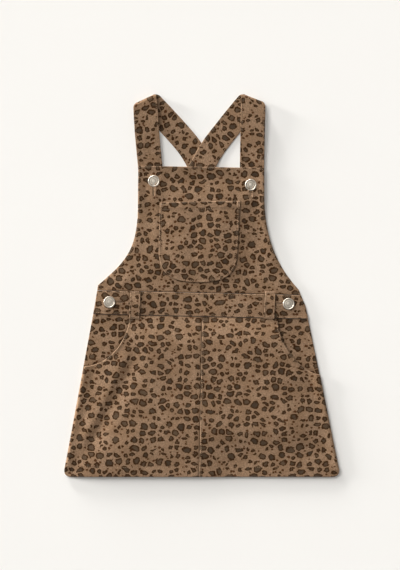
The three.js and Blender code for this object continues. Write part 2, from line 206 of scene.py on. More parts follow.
def loops_of(points, triangles):
    """The borders of a skin as closed rows of (x, y), the outer one first and anticlockwise."""
    edges = {(int(t[k]), int(t[(k + 1) % 3])) for t in triangles for k in range(3)}
    follows = {a: b for a, b in edges if (b, a) not in edges}
    loops = []
    while follows:
        start = next(iter(follows))
        row, at = [start], follows.pop(start)
        while at != start and at in follows:
            row.append(at)
            at = follows.pop(at)
        loops.append(thinned(points[row][:, :2]))
    loops = [row for row in loops if len(row) > 2]
    return sorted(loops, key=lambda row: -np.ptp(row, axis=0).sum())


def thinned(row, least=0.05 * MM):
    """Drops points that nearly coincide with the one before."""
    kept = [row[0]]
    for point in row[1:]:
        if np.linalg.norm(point - kept[-1]) > least:
            kept.append(point)
    if np.linalg.norm(kept[-1] - kept[0]) <= least:
        kept.pop()
    return np.array(kept)


def turns(loop):
    """Turn at each point of a closed row, in degrees."""
    ahead = np.roll(loop, -1, axis=0) - loop
    behind = loop - np.roll(loop, 1, axis=0)
    cross = behind[:, 0] * ahead[:, 1] - behind[:, 1] * ahead[:, 0]
    return np.degrees(np.arctan2(cross, (behind * ahead).sum(1)))


def sides_of(loop, corner=27.0):
    """Splits a closed row at its corners."""
    corners = [i for i, turn in enumerate(turns(loop)) if abs(turn) > corner]
    ring = np.vstack([np.roll(loop, -corners[0], axis=0), loop[corners[0]]])
    cuts = [c - corners[0] for c in corners] + [len(loop)]
    return [ring[a : b + 1] for a, b in zip(cuts, cuts[1:])]


def near_line(points, line):
    """Distance of each point from an open row, and how far along the row its nearest place is."""
    start, step = line[:-1], np.diff(line, axis=0)
    size = np.maximum((step**2).sum(1), 1e-18)
    along = np.concatenate([[0.0], np.cumsum(np.sqrt(size))])
    best = np.full(len(points), np.inf)
    place = np.zeros(len(points))
    for a, s, n, sofar in zip(start, step, size, along):
        t = np.clip(((points - a) @ s) / n, 0.0, 1.0)
        away = np.hypot(*(points - a - t[:, None] * s).T)
        closer = away < best
        best[closer] = away[closer]
        place[closer] = (sofar + t * math.sqrt(n))[closer]
    return best, place


def inside(points, loop):
    """Which points lie inside a closed row."""
    x, y = points[:, 0], points[:, 1]
    found = np.zeros(len(points), bool)
    for (x1, y1), (x2, y2) in zip(loop, np.roll(loop, -1, axis=0)):
        if y1 != y2:
            crosses = (y1 > y) != (y2 > y)
            found ^= crosses & (x < (x2 - x1) * (y - y1) / (y2 - y1) + x1)
    return found


def spaced(line, step):
    """An open row with its corners kept and points about a step apart between them."""
    out = [line[:1]]
    for a, b in zip(line, line[1:]):
        count = max(1, round(float(np.linalg.norm(b - a)) / step))
        out.append(a + (b - a) * (np.arange(1, count + 1) / count)[:, None])
    return np.vstack(out)


def offset(line, distance):
    """An open row moved to its left by a distance, its points a little apart at outer corners."""
    step = np.gradient(line, axis=0)
    step /= np.maximum(np.linalg.norm(step, axis=1), 1e-12)[:, None]
    return line + distance * np.column_stack([-step[:, 1], step[:, 0]])


# ---- Cloth panels ----
class Edge:
    """One side of a panel and how it is sewn.

    at is a place near the side, and heights keeps the part of it between two heights, all as shares of
    the panel's box. rows are the distances of its topstitching, each darkened as painted shade. ridge is
    how much the doubled cloth stands up as far as ridge_to, its edge paler as faded cloth and painted
    highlight, sink how far the side dips under its neighbour, with painted shade along it, and bulk how
    thick the layers are that a seam turns in along the side.
    """

    def __init__(self, at, rows=(), ridge=0.0, ridge_to=0.0, sink=0.0, bulk=0.0, heights=(-1, 2)):
        self.at, self.rows, self.ridge, self.ridge_to = at, rows, ridge, ridge_to
        self.sink, self.bulk, self.heights, self.line = sink, bulk, heights, None

    def find(self, sides, low, size):
        """Takes its line from the sides of a panel."""
        place = (low + size * np.array(self.at))[None]
        side = min(sides, key=lambda s: near_line(place, s)[0][0])
        share = (side[:, 1] - low[1]) / size[1]
        kept = np.flatnonzero((share >= self.heights[0]) & (share <= self.heights[1]))
        self.line = side[kept.min() : kept.max() + 1]


def surface_of(points, triangles):
    return BVHTree.FromPolygons([Vector(p) for p in points], [tuple(map(int, t)) for t in triangles])


def height_at(surface, x, y):
    """Height of a surface under a place seen from above, or None beside it."""
    hit = surface.ray_cast(Vector((x, y, 1.0)), Vector((0, 0, -1)))[0]
    return hit.z if hit else None


class Panel:
    """A cloth panel over a solid: its outline and its sides.

    extra gives more height, and under holds the outlines of the pieces that lie on this panel, beside
    which it gets painted shadow.
    """

    def __init__(self, node, edges, extra=None, under=()):
        self.node, self.edges, self.extra, self.under = node, edges, extra, under
        points, triangles = skin_of(node)
        loops = loops_of(points, triangles)
        self.outline, self.holes = loops[0], loops[1:]
        self.skin = surface_of(points, triangles)
        for edge in edges.values():
            edge.find(sides_of(self.outline), self.outline.min(0), np.ptp(self.outline, axis=0))

    def level(self, x, y):
        """Height of the solid's upper face, or of its nearest point where the place is just outside."""
        height = height_at(self.skin, x, y)
        return self.skin.find_nearest(Vector((x, y, CAD_HIGH.z / 2)))[0].z if height is None else height

    def area(self):
        x, y = self.outline.T
        return abs(float(np.dot(x, np.roll(y, -1)) - np.dot(y, np.roll(x, -1)))) / 2


RINGS = (0.15, 0.5, 1.1, 2.2)  # distances from the border of the rings inside it, in thicknesses
BESIDE_ROW = (-0.9 * MM, 0.0, 0.9 * MM)  # lines of points along a stitched row
BESIDE_PIECE = (0.3 * MM, -0.4 * MM, -1.0 * MM, -1.8 * MM, -3.0 * MM)  # the same along a piece on top


def panel_points(panel, step, thickness):
    """Points of a panel in plan: its border, rings inside it, lines along its rows, and a field."""
    border, constraint, fixed, count = [], [], [], 0
    for loop in [panel.outline, *panel.holes]:
        ring = spaced(np.vstack([loop, loop[:1]]), step)[:-1]
        border.append(ring)
        constraint += [(count + i, count + (i + 1) % len(ring)) for i in range(len(ring))]
        count += len(ring)
    closed = [np.vstack([ring[-1:], ring, ring[:1]]) for ring in border]
    for reach in RINGS:
        fixed += [offset(ring, reach * thickness)[1:-1] for ring in closed]
    for edge in panel.edges.values():
        line = spaced(edge.line, step)
        for row in edge.rows:
            fixed += [offset(line, row + shift) for shift in BESIDE_ROW]
    for line in panel.under:
        line = spaced(line, 0.6 * step)
        fixed += [offset(line, reach) for reach in BESIDE_PIECE]
    low, high = panel.outline.min(0), panel.outline.max(0)
    xs = np.arange(low[0], high[0], step)
    ys = np.arange(low[1], high[1], step * 0.87)
    gx, gy = np.meshgrid(xs, ys)
    gx = gx + (np.arange(len(ys)) % 2)[:, None] * step / 2
    return np.vstack(border), constraint, np.vstack(fixed), np.column_stack([gx.ravel(), gy.ravel()])


def border_distance(panel, points):
    loops = [panel.outline, *panel.holes]
    return np.min([near_line(points, np.vstack([loop, loop[:1]]))[0] for loop in loops], axis=0)


def within(panel, points):
    keep = inside(points, panel.outline)
    for hole in panel.holes:
        keep &= ~inside(points, hole)
    return keep


def spread_points(panel, step, thickness):
    """The panel's points with none too near another, and the triangles between them."""
    border, constraint, fixed, field = panel_points(panel, step, thickness)
    fixed = fixed[within(panel, fixed) & (border_distance(panel, fixed) > 0.1 * thickness)]
    field = field[within(panel, field)]
    kept = [tuple(p) for p in border]
    for group, least in ((fixed, 0.1), (field, 0.55)):
        tree = KDTree(len(kept))
        for i, p in enumerate(kept):
            tree.insert((p[0], p[1], 0.0), i)
        tree.balance()
        kept += [tuple(p) for p in group if tree.find((p[0], p[1], 0.0))[2] > least * step]
    found = geometry.delaunay_2d_cdt([Vector(p) for p in kept], constraint, [], 0, 1e-7)
    points = np.array([tuple(p) for p in found[0]])
    triangles = np.array([tuple(t) for t in found[2]])
    middle = points[triangles].mean(1)
    triangles = triangles[within(panel, middle)]
    used, triangles = np.unique(triangles, return_inverse=True)
    points, triangles = points[used], triangles.reshape(-1, 3)
    a, b, c = (points[triangles[:, k]] for k in range(3))
    flipped = (b - a)[:, 0] * (c - a)[:, 1] - (b - a)[:, 1] * (c - a)[:, 0] < 0
    triangles[flipped] = triangles[flipped][:, ::-1]
    return points, triangles


def relaxed(values, triangles, rounds):
    """Smooths values at the points of a mesh."""
    pairs = np.vstack([triangles[:, [0, 1]], triangles[:, [1, 2]], triangles[:, [2, 0]]])
    pairs = np.vstack([pairs, pairs[:, ::-1]])
    number = np.bincount(pairs[:, 0], minlength=len(values))
    for _ in range(rounds):
        total = np.bincount(pairs[:, 0], weights=values[pairs[:, 1]], minlength=len(values))
        values = 0.5 * values + 0.5 * total / number
    return values


BULK_OVER = 17 * MM  # width over which the layers in a side seam slope away
SINK_OVER = 2.5 * MM  # width over which a side dips under its neighbour
STITCH_SINK = 0.34 * MM  # depth of the groove that a row of stitches pulls in
EDGE_SINK = 0.3 * MM  # depth to which a piece on top presses the cloth at its edge


def sewn_relief(panel, points, seed):
    """Height that the sewing gives a panel (ridges, sunk rows, puckers, dips at seams), and its painted
    light: paler ridges, partly faded cloth and partly painted highlight, and painted shade in sunk rows,
    along seams and beside pieces on top.
    """
    pucker = settings().dress_sewing.pucker
    height, wear = np.zeros(len(points)), np.zeros(len(points))
    for number, edge in enumerate(panel.edges.values()):
        away, along = near_line(points, edge.line)
        pull = waves(along, away * 0.25, 5.5 * MM, seed + 11 * number)
        pull += 0.6 * waves(along, away * 0.4, 2.9 * MM, seed + 11 * number + 5)
        for row in edge.rows:
            off = away - row
            height += pucker * pull * bell(off, 4.5 * MM) - STITCH_SINK * bell(off, 0.75 * MM)
            # painted shade in the groove of each stitched row
            wear -= 0.6 * bell(off, 0.8 * MM)
        if edge.ridge:
            height += edge.ridge * (1 - smooth(away, edge.ridge_to - 0.8 * MM, edge.ridge_to + 0.8 * MM))
            # a paler rim at the edge: partly faded cloth, partly painted highlight
            wear += 0.36 * (1 - smooth(away, 0.2 * MM, 1.6 * MM))
        height -= edge.sink * np.exp(-away / SINK_OVER)
        height += edge.bulk * smooth(away, -0.8 * MM, 2.6 * MM) * (1 - smooth(away, 0, BULK_OVER))
        # painted shade along a side that dips under its neighbour
        if edge.sink:
            wear -= 0.9 * np.exp(-away / (1.1 * MM))
    for line in panel.under:
        away = near_line(points, line)[0]
        height -= EDGE_SINK * bell(away, 1.6 * MM)
        # painted shadow beside each piece that lies on this panel
        wear -= 0.95 * np.exp(-away / (1.0 * MM))
    return height, wear


# Main hollows (negative) and ridges of the laid cloth, in millimetres from the hem's middle: start, end,
# height, and the spread to the left and to the right of that line. The first one fills the hollow that
# the solid has beside the second.
FOLDS = (
    ((-196, 8), (-94, 208), 1.9, 11, 11),
    ((-177, 16), (-86, 196), -2.6, 7, 17),
    ((-140, 34), (-94, 104), -0.5, 9, 12),
    ((-164, 192), (-114, 230), -0.6, 5, 5),
    ((178, 146), (110, 212), -0.7, 6, 6),
    ((74, 226), (150, 168), -0.45, 6, 7),
    ((-1, 398), (-14, 296), -0.8, 6, 8),
    ((22, 392), (34, 310), 0.4, 12, 14),
    ((0, 46), (196, 34), -0.7, 18, 12),
    ((-128, 262), (-98, 300), 0.5, 6, 6),
)


def lie_of(points):
    """Broad soft waves of the laid cloth, and its main hollows and ridges, the same for every panel."""
    sewing = settings().dress_sewing
    x, y = points[:, 0], points[:, 1]
    up = y - CAD_LOW.y
    height = waves(x, y, 46 * MM, sewing.seed) + 0.5 * waves(x, y, 21 * MM, sewing.seed + 1)
    height *= sewing.lie
    for first, last, rise, left, right in FOLDS:
        start, end = np.array(first) * MM, np.array(last) * MM
        away, along = near_line(np.column_stack([x, up]), np.array([start, end]))
        step = end - start
        run = np.linalg.norm(step)
        ends = smooth(along, 0, 0.3 * run) * (1 - smooth(along, 0.72 * run, run))
        on_right = (x - start[0]) * step[1] - (up - start[1]) * step[0] > 0
        height += rise * MM * ends * bell(away, np.where(on_right, right, left) * MM)
    return height


def make_mesh(name, points, faces, materials, cut=None, wrong=None, **values):
    """A piece from its points and faces.

    cut is each point's place on the flat cut, wrong says which faces have the second material, and values
    holds more numbers for each point.
    """
    mesh = bpy.data.meshes.new(name)
    mesh.from_pydata([tuple(p) for p in points], [], [tuple(map(int, face)) for face in faces])
    if cut is not None:
        corners = np.empty(len(mesh.loops), int)
        mesh.loops.foreach_get("vertex_index", corners)
        mesh.uv_layers.new(name="cut").data.foreach_set("uv", np.asarray(cut, float)[corners].ravel())
    for key, value in values.items():
        mesh.attributes.new(key, "FLOAT", "POINT").data.foreach_set("value", np.asarray(value, float))
    for material in materials:
        mesh.materials.append(material)
    if wrong is not None:
        mesh.polygons.foreach_set("material_index", np.asarray(wrong, int))
    mesh.polygons.foreach_set("use_smooth", np.ones(len(mesh.polygons), bool))
    mesh.update()
    return placed(name, mesh)


SURFACES = {}  # upper face of each cloth piece, for what is sewn on it
PANELS = {}  # the panel of each cloth piece, whose rows are stitched last


FOLDS_FROM = (-2 * MM, 14 * MM)  # distances from the border over which the waves and folds come in


def edge_rounding(away, thickness):
    """How far the round edge of cloth has closed: 1 at its border, 0 from half a thickness inwards."""
    close = np.clip(1 - away / (0.5 * thickness), 0.0, 1.0)
    return 1 - np.sqrt(np.clip(1 - close**2, 0.0, 1.0))


def cloth_panel(panel, offset_cut, step=None, rounds=24, folds=True, facing=1):
    """Makes a panel's piece: a closed skin with rounded edges, on the form of its solid.

    facing is -1 where the cloth lies with its printed side down.
    """
    sewing = settings().dress_sewing
    thickness = sewing.cloth
    points, triangles = spread_points(panel, step or sewing.fineness, thickness)
    level = relaxed(np.array([panel.level(x, y) for x, y in points]), triangles, rounds)
    seed = sewing.seed + sum(map(ord, panel.node))
    relief, wear = sewn_relief(panel, points, seed)
    away = border_distance(panel, points)
    if folds:
        level = level + lie_of(points) * smooth(away, *FOLDS_FROM)
    if panel.extra:
        level = level + panel.extra(points, away)
    under = np.maximum(level + np.minimum(relief * 0.5, 0) - thickness, 0)
    rounding = thickness * 0.5 * edge_rounding(away, thickness)
    rim = away < 1e-7
    top = np.where(rim, (level + relief + under) / 2, level + relief - rounding)
    under = under + rounding
    count = len(points)
    below = np.full(count, -1)
    below[~rim] = count + np.arange((~rim).sum())
    below[rim] = np.flatnonzero(rim)
    every = np.vstack([np.column_stack([points, top]), np.column_stack([points, under])[~rim]])
    faces = np.vstack([triangles, below[triangles][:, ::-1]])
    cut = np.vstack([points, points[~rim]]) + np.array(offset_cut)
    wear = np.concatenate([wear, wear[~rim]])
    wrong = np.repeat([0, 1] if facing > 0 else [1, 0], len(triangles))
    materials = [spotted_twill(), twill_wrong_side()]
    piece = make_mesh("cloth_" + panel.node, every, faces, materials, cut, wrong, wear=wear)
    SURFACES[piece.name] = surface_of(every[:count], triangles)
    PANELS[piece.name] = panel
    return piece


def make_panel(panel, rests_on, offset_cut, **how):
    """Makes a panel's piece with its print placed by offset_cut, hangs it under the root and hides the
    solid that it stands for. rests_on is not used.
    """
    piece = cloth_panel(panel, offset_cut, **how)
    size = tuple(map(float, np.ptp(panel.outline, axis=0)))
    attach(piece, "root")
    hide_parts(panel.node)
    min(panel.area(), size[0] * size[1])


# ---- Node trees ----
class Value:
    """A socket of a node tree. A sum written with it adds the nodes that work it out."""

    def __init__(self, tree, socket):
        self.tree, self.socket = tree, socket
        self.is_vector = socket.type in ("VECTOR", "RGBA")

    def __add__(self, other):
        return self.tree.reckon("ADD", self, other)

    def __sub__(self, other):
        return self.tree.reckon("SUBTRACT", self, other)

    def __rsub__(self, other):
        return self.tree.reckon("SUBTRACT", other, self)

    def __mul__(self, other):
        return self.tree.reckon("MULTIPLY", self, other)

    def __truediv__(self, other):
        return self.tree.reckon("DIVIDE", self, other)

    def __rtruediv__(self, other):
        return self.tree.reckon("DIVIDE", other, self)


class Tree:
    """Adds nodes to a tree and joins them. An input takes a value of the tree or a plain one."""

    def __init__(self, tree):
        self.tree = tree

    def put(self, socket, value):
        if isinstance(value, Value):
            self.tree.links.new(value.socket, socket)
        else:
            socket.default_value = value

    def fill(self, node, inputs):
        for key, value in inputs.items():
            self.put(node.inputs[key], value)
        return node

    def add(self, kind, inputs=None, **options):
        node = self.tree.nodes.new(kind)
        for key, value in options.items():
            setattr(node, key, value)
        return self.fill(node, inputs or {})

    def take(self, output, kind, inputs=None, **options):
        """Adds a node and returns one of its outputs."""
        return Value(self, self.add(kind, inputs, **options).outputs[output])

    def outputs(self, kind, inputs=None, **options):
        """Adds a node and returns its outputs by name."""
        return {socket.name: Value(self, socket) for socket in self.add(kind, inputs, **options).outputs}

    def math(self, operation, *values):
        return self.take(0, "ShaderNodeMath", dict(enumerate(values)), operation=operation)

    def vector(self, operation, *values):
        output = "Value" if operation in ("LENGTH", "DOT_PRODUCT") else "Vector"
        return self.take(output, "ShaderNodeVectorMath", dict(enumerate(values)), operation=operation)

    def reckon(self, operation, a, b):
        """Adds the node of a sum, which is one of vectors where either value is a vector."""
        vectors = [isinstance(value, tuple) or getattr(value, "is_vector", False) for value in (a, b)]
        if not any(vectors):
            return self.math(operation, a, b)
        if operation == "MULTIPLY" and not all(vectors):
            return self.take("Vector", "ShaderNodeVectorMath", {0: a, "Scale": b}, operation="SCALE")
        return self.vector(operation, a, b)

    def clamp(self, value, low, high):
        return self.math("MAXIMUM", self.math("MINIMUM", value, high), low)

    def ramp(self, value, low, high, start=0.0, end=1.0, soft=True):
        kind = "SMOOTHSTEP" if soft else "LINEAR"
        inputs = {"Value": value, "From Min": low, "From Max": high, "To Min": start, "To Max": end}
        return self.take("Result", "ShaderNodeMapRange", inputs, interpolation_type=kind)

    def mix(self, factor, a, b, blend="MIX"):
        return self.take(2, "ShaderNodeMix", {0: factor, 6: a, 7: b}, data_type="RGBA", blend_type=blend)

    def noise(self, place, scale, detail=2.0, dimensions="2D", output="Fac"):
        inputs = {"Vector": place, "Scale": scale, "Detail": detail}
        return self.take(output, "ShaderNodeTexNoise", inputs, noise_dimensions=dimensions)

    def centred_noise(self, place, scale):
        return self.noise(place, scale, 1.0, output="Color") - (0.5, 0.5, 0.5)

    def cells(self, place, feature="F1", randomness=1.0):
        inputs = {"Vector": place, "Scale": 1.0, "Randomness": randomness}
        return self.outputs("ShaderNodeTexVoronoi", inputs, voronoi_dimensions="2D", feature=feature)

    def random(self, place, seed):
        inputs = {"Vector": place, "W": seed}
        return self.outputs("ShaderNodeTexWhiteNoise", inputs, noise_dimensions="4D")

    def split(self, value):
        return self.outputs("ShaderNodeSeparateXYZ", {0: value}).values()

    def join(self, x, y, z=0.0):
        return self.take(0, "ShaderNodeCombineXYZ", {0: x, 1: y, 2: z})

    def flat(self, value):
        return value * (1.0, 1.0, 0.0)

    def bump(self, height, strength, distance):
        inputs = {"Height": height, "Strength": strength, "Distance": distance}
        return self.take("Normal", "ShaderNodeBump", inputs)


def made_once(kind):
    """Makes a material or node group, named after its maker, at the first call and finds it later."""

    def decorate(maker):
        def find():
            blocks, name = getattr(bpy.data, kind), maker.__name__
            return blocks[name] if name in blocks else maker(name)

        return find

    return decorate


def group_of(name, inputs, outputs, kind="ShaderNodeTree"):
    """A node group with named sockets, and its helper, its inputs and its outputs."""
    group = bpy.data.node_groups.new(name, kind)
    for key, socket_type, value in inputs:
        socket = group.interface.new_socket(key, in_out="INPUT", socket_type=socket_type)
        if value is not None:
            socket.default_value = value
    for key, socket_type in outputs:
        group.interface.new_socket(key, in_out="OUTPUT", socket_type=socket_type)
    tree = Tree(group)
    return group, tree, tree.outputs("NodeGroupInput"), tree.add("NodeGroupOutput").inputs


def rgba(value, shade=1.0):
    """A colour as a socket takes it, with its light scaled."""
    return (*(min(1.0, part * shade) for part in value), 1.0)


# The print is drawn in units of the spots' spacing.
SPOT_STRETCH = (0.93, 1.09, 0.0)  # makes the spots a little wider than high
SCATTER = 0.72  # how unevenly the spots are scattered, from a plain grid at 0 to 1
SPOT_ROOM = (0.78, 1.22)  # radius of a spot as a share of the room that it has
SPOT_RADIUS = (0.17, 0.5)  # smallest and largest radius
SPOT_GAP = 0.06  # half of the bare line between two spots that touch
LONGEST = 1.34  # how much longer than wide a spot may be
TAIL = 0.13  # length of the point that some spots have
KNOBS, BUMPS = (0.14, 0.34), 0.16  # height of the coarse and of the fine unevenness of an outline
NOTCH = (0.02, 0.19)  # depth of the notch that some spots have
DOT_RADIUS = (0.13, 0.27)  # smallest and largest radius of a dot, in units of the dots' spacing
DOT_GAP = 0.035  # least gap between a dot and a spot
FAR = 9.0  # a distance that puts what it is added to out of play
DRAW_SHAPE, DRAW_NOTCH, DRAW_TONE, DRAW_DOT = 1.7, 5.1, 9.9, 2.2  # seeds of the print's random values


def spot_cell(tree, place):
    """The place as it is warped, and the middle and the radius of the spot nearest to it."""
    warped = place + tree.centred_noise(place, 0.9) * 0.36
    finer = tree.centred_noise(place + (7.3, 2.1, 0.0), 3.2)
    warped = tree.flat(warped + finer * 0.11)
    middle = tree.flat(tree.cells(warped, randomness=SCATTER)["Position"])
    room = tree.cells(middle, "N_SPHERE_RADIUS", SCATTER)["Radius"]
    share_of_room = tree.ramp(tree.random(middle, DRAW_SHAPE)["Value"], 0.0, 1.0, *SPOT_ROOM, soft=False)
    return warped, middle, tree.clamp(room * share_of_room, *SPOT_RADIUS)


def spot_outline(tree, warped, local, radius, turn, stretch, tailed):
    """Distance outside the edge of a spot, which is stretched, knobbly and may end in a point."""
    inputs = {"Vector": local, "Angle": turn * (2 * math.pi)}
    across, along, _ = tree.split(tree.take(0, "ShaderNodeVectorRotate", inputs, rotation_type="Z_AXIS"))
    stretch = tree.ramp(stretch, 0.0, 1.0, 1.0, LONGEST, soft=False)
    away = tree.vector("LENGTH", tree.join(across * stretch, along / tree.math("POWER", stretch, 0.6)))
    heading = tree.math("MAXIMUM", along, 0.0) / (away + 0.02)
    tail = tree.math("POWER", heading, 9.0) * tree.ramp(tailed, 0.8, 0.86, 0.0, TAIL)
    knobs = (tree.noise(warped + (3.3, 9.1, 0.0), 2.9, 1.5) - 0.5) * tree.ramp(radius, 0.15, 0.4, *KNOBS)
    bumps = (tree.noise(warped + (6.1, 0.7, 0.0), 6.5, 1.0) - 0.5) * BUMPS
    return away - radius + (knobs + bumps) - tail


def spot_shape(tree, place):
    """Distance outside the edge of the nearest spot, depth towards its heart, and a random tone."""
    warped, middle, radius = spot_cell(tree, place)
    local = warped - middle
    turn, stretch, shift = tree.split(tree.random(middle, DRAW_SHAPE)["Color"])
    draw = tree.random(middle, DRAW_NOTCH)
    notch_side, notched, tone = tree.split(draw["Color"])
    edge = spot_outline(tree, warped, local, radius, turn, stretch, draw["Value"])
    angle = notch_side * (2 * math.pi)
    notch = tree.join(tree.math("COSINE", angle) * radius, tree.math("SINE", angle) * radius)
    depth = tree.ramp(notched, 0.6, 1.0, *NOTCH, soft=False) - tree.math("LESS_THAN", notched, 0.6) * FAR
    notch = depth - tree.vector("LENGTH", local - notch)
    edge = tree.math("SMOOTH_MAX", edge, notch, 0.05)
    border = tree.cells(warped, "DISTANCE_TO_EDGE", SCATTER)["Distance"]
    edge = tree.math("SMOOTH_MAX", edge, SPOT_GAP - border, 0.07)
    aside = tree.join(shift - 0.5, tone - 0.5) * 0.24
    depth_in = edge + tree.vector("DOT_PRODUCT", local, aside)
    return edge, depth_in, tree.random(middle, DRAW_TONE)["Value"]


def dot_shape(tree, place, spacing, shift):
    """Distance outside the edge of the nearest small dot, for dots whose middle is clear of the spots."""
    dots = place * (1.0 / spacing) + shift
    warped = dots + tree.centred_noise(dots, 2.2) * 0.3
    cell = tree.cells(tree.flat(warped), randomness=0.95)
    middle = tree.flat(cell["Position"])
    radius = tree.ramp(tree.random(middle, DRAW_DOT)["Value"], 0.0, 1.0, *DOT_RADIUS, soft=False)
    there, spot, spot_radius = spot_cell(tree, (middle - shift) * spacing)
    gap = tree.vector("LENGTH", there - spot) - spot_radius
    hidden = tree.math("LESS_THAN", gap, radius * spacing + DOT_GAP) * FAR
    return cell["Distance"] - radius + hidden


@made_once("node_groups")
def animal_print(name):
    """Group: spots, dots and uneven ground of the printed cloth, from a place on the cut in metres."""
    ink = settings().dress_print
    colours = {"Ground": ink.ground, "Ground Shade": ink.ground_shade, "Rim": ink.rim, "Heart": ink.heart,
               "Dot": ink.dot}
    group, tree, given, result = group_of(
        name,
        [("Place", "NodeSocketVector", None), ("Spot Spacing", "NodeSocketFloat", ink.spacing),
         ("Dot Spacing", "NodeSocketFloat", ink.dot_spacing),
         *((key, "NodeSocketColor", rgba(value)) for key, value in colours.items())],
        [("Color", "NodeSocketColor")],
    )
    place = given["Place"] * (1.0 / given["Spot Spacing"]) * SPOT_STRETCH
    edge, depth_in, tone = spot_shape(tree, place)
    dots = dot_shape(tree, place, given["Dot Spacing"] / given["Spot Spacing"], (13.7, 4.2, 0.0))
    dot = tree.ramp(dots, -0.06, 0.06, 1.0, 0.0)
    spot = tree.ramp(edge, -0.04, 0.035, 1.0, 0.0)
    heart = tree.ramp(depth_in, -0.26, -0.07, 1.0, 0.0)
    clouds = tree.ramp(tree.noise(place, 0.5, 3.0), 0.35, 0.65)
    ground = tree.mix(clouds, given["Ground"], given["Ground Shade"])
    flecks = tree.ramp(tree.noise(place, 5.5, 3.0), 0.3, 0.7, 0.0, 0.6)
    ground = tree.mix(flecks, ground, tree.mix(0.5, given["Ground Shade"], given["Rim"]))
    middle = tree.mix(tone * 0.22, given["Heart"], given["Ground Shade"])
    cloth = tree.mix(dot * 0.95, ground, given["Dot"])
    tree.put(result["Color"], tree.mix(spot, cloth, tree.mix(heart, given["Rim"], middle)))
    return group


@made_once("node_groups")
def twill_weave(name):
    """Group: fine diagonal ribs of the weave with uneven yarns, as a height and a light-and-dark tone."""
    group, tree, given, result = group_of(
        name,
        [("Place", "NodeSocketVector", None), ("Rib", "NodeSocketFloat", 0.75 * MM)],
        [("Height", "NodeSocketFloat"), ("Tone", "NodeSocketFloat")],
    )
    yarns = given["Place"] * (1.0 / given["Rib"])
    across, along, _ = tree.split(yarns)
    rib = tree.math("SINE", (across + along * 0.8 + tree.noise(yarns, 0.35)) * (2 * math.pi))
    beads = tree.math("SINE", (along - across * 0.5) * 9.0)
    slubs = tree.noise(yarns * (0.22, 1.1, 0.0), 1.0)
    picks = tree.noise(yarns * (1.2, 0.25, 0.0), 1.0)
    uneven = slubs + picks - 1.0
    tree.put(result["Height"], rib * 0.35 + beads * 0.15 + uneven * 1.2)
    tree.put(result["Tone"], tree.ramp(uneven, -0.35, 0.35, soft=False))
    return group


@made_once("node_groups")
def seam_wear(name):
    """Group: a colour made paler on ridges, partly as faded cloth and partly as painted highlight, and
    darker in sunk rows and along seams as painted shade, as the attribute of each piece says.
    """
    group, tree, given, result = group_of(
        name,
        [("Color", "NodeSocketColor", None), ("Place", "NodeSocketVector", None),
         ("Paler", "NodeSocketFloat", 0.5), ("Darker", "NodeSocketFloat", 0.5)],
        [("Color", "NodeSocketColor")],
    )
    wear = tree.take("Fac", "ShaderNodeAttribute", attribute_name="wear")
    wear = wear * tree.ramp(tree.noise(given["Place"], 260.0, 3.0), 0.3, 0.7, 0.35, 1.25)
    pale = tree.math("MAXIMUM", wear, 0.0) * given["Paler"]
    dark = tree.math("MAXIMUM", wear * -1.0, 0.0) * given["Darker"]
    # paler colour: faded cloth and painted highlight
    worn_and_painted_light = tree.mix(pale, given["Color"], (0.52, 0.38, 0.26, 1.0))
    # near-black brown: painted shade
    tree.put(result["Color"], tree.mix(dark, worn_and_painted_light, (0.05, 0.03, 0.018, 1.0)))
    return group


def material_of(name):
    """A new material, its tree and its shader node."""
    material = bpy.data.materials.new(name)
    material.use_nodes = True
    return material, Tree(material.node_tree), material.node_tree.nodes["Principled BSDF"]


def printed(tree):
    """The place on the cut, and the print's colour there."""
    place = tree.take("UV", "ShaderNodeUVMap", uv_map="cut")
    return place, tree.take("Color", "ShaderNodeGroup", {"Place": place}, node_tree=animal_print())


def woven(tree, shader, place, colour_there, toning):
    """Joins the weave to a cloth's shader: tone, roughness and bump."""
    weave = tree.outputs("ShaderNodeGroup", {"Place": place}, node_tree=twill_weave())
    dark, light = (tree.mix(1.0, colour_there, (tone, tone, tone, 1.0), "MULTIPLY")
                   for tone in (1 - toning, 1 + toning))
    tree.fill(shader, {
        "Base Color": tree.mix(weave["Tone"], dark, light),
        "Roughness": tree.ramp(weave["Tone"], 0.0, 1.0, 0.94, 0.8, soft=False),
        "Normal": tree.bump(weave["Height"], 0.6, 0.1 * MM),
        "Specular IOR Level": 0.08, "Sheen Weight": 0.02, "Sheen Roughness": 0.5,
    })


@made_once("materials")
def spotted_twill(name):
    """Material: the printed outside of the cloth."""
    material, tree, shader = material_of(name)
    place, ink = printed(tree)
    # the print made paler on ridges (faded cloth and painted highlight) and darker in rows and seams
    # (painted shade)
    worn_and_painted_light = tree.take("Color", "ShaderNodeGroup", {"Color": ink, "Place": place}, node_tree=seam_wear())
    woven(tree, shader, place, worn_and_painted_light, 0.24)
    return material


@made_once("materials")
def twill_wrong_side(name):
    """Material: the paler unprinted side of the cloth, where some of the print shows through."""
    material, tree, shader = material_of(name)
    place, ink = printed(tree)
    woven(tree, shader, place, tree.mix(0.28, rgba(settings().dress_print.inside), ink), 0.12)
    return material


@made_once("materials")
def sewing_thread(name):
    """Material: twisted topstitching thread."""
    material, tree, shader = material_of(name)
    place = tree.take("Object", "ShaderNodeTexCoord")
    fine, broad = (tree.noise(place, scale, 2.0, "3D") for scale in (2600.0, 90.0))
    yarn = settings().dress_print.thread
    tone = tree.ramp(fine * 0.4 + broad * 0.6, 0.35, 0.65)
    tree.fill(shader, {
        "Base Color": tree.mix(tone, rgba(yarn, 0.62), rgba(yarn, 1.3)),
        "Roughness": tree.ramp(fine, 0.3, 0.7, 0.6, 0.8, soft=False),
        "Normal": tree.bump(fine, 0.4, 0.05 * MM),
    })
    return material


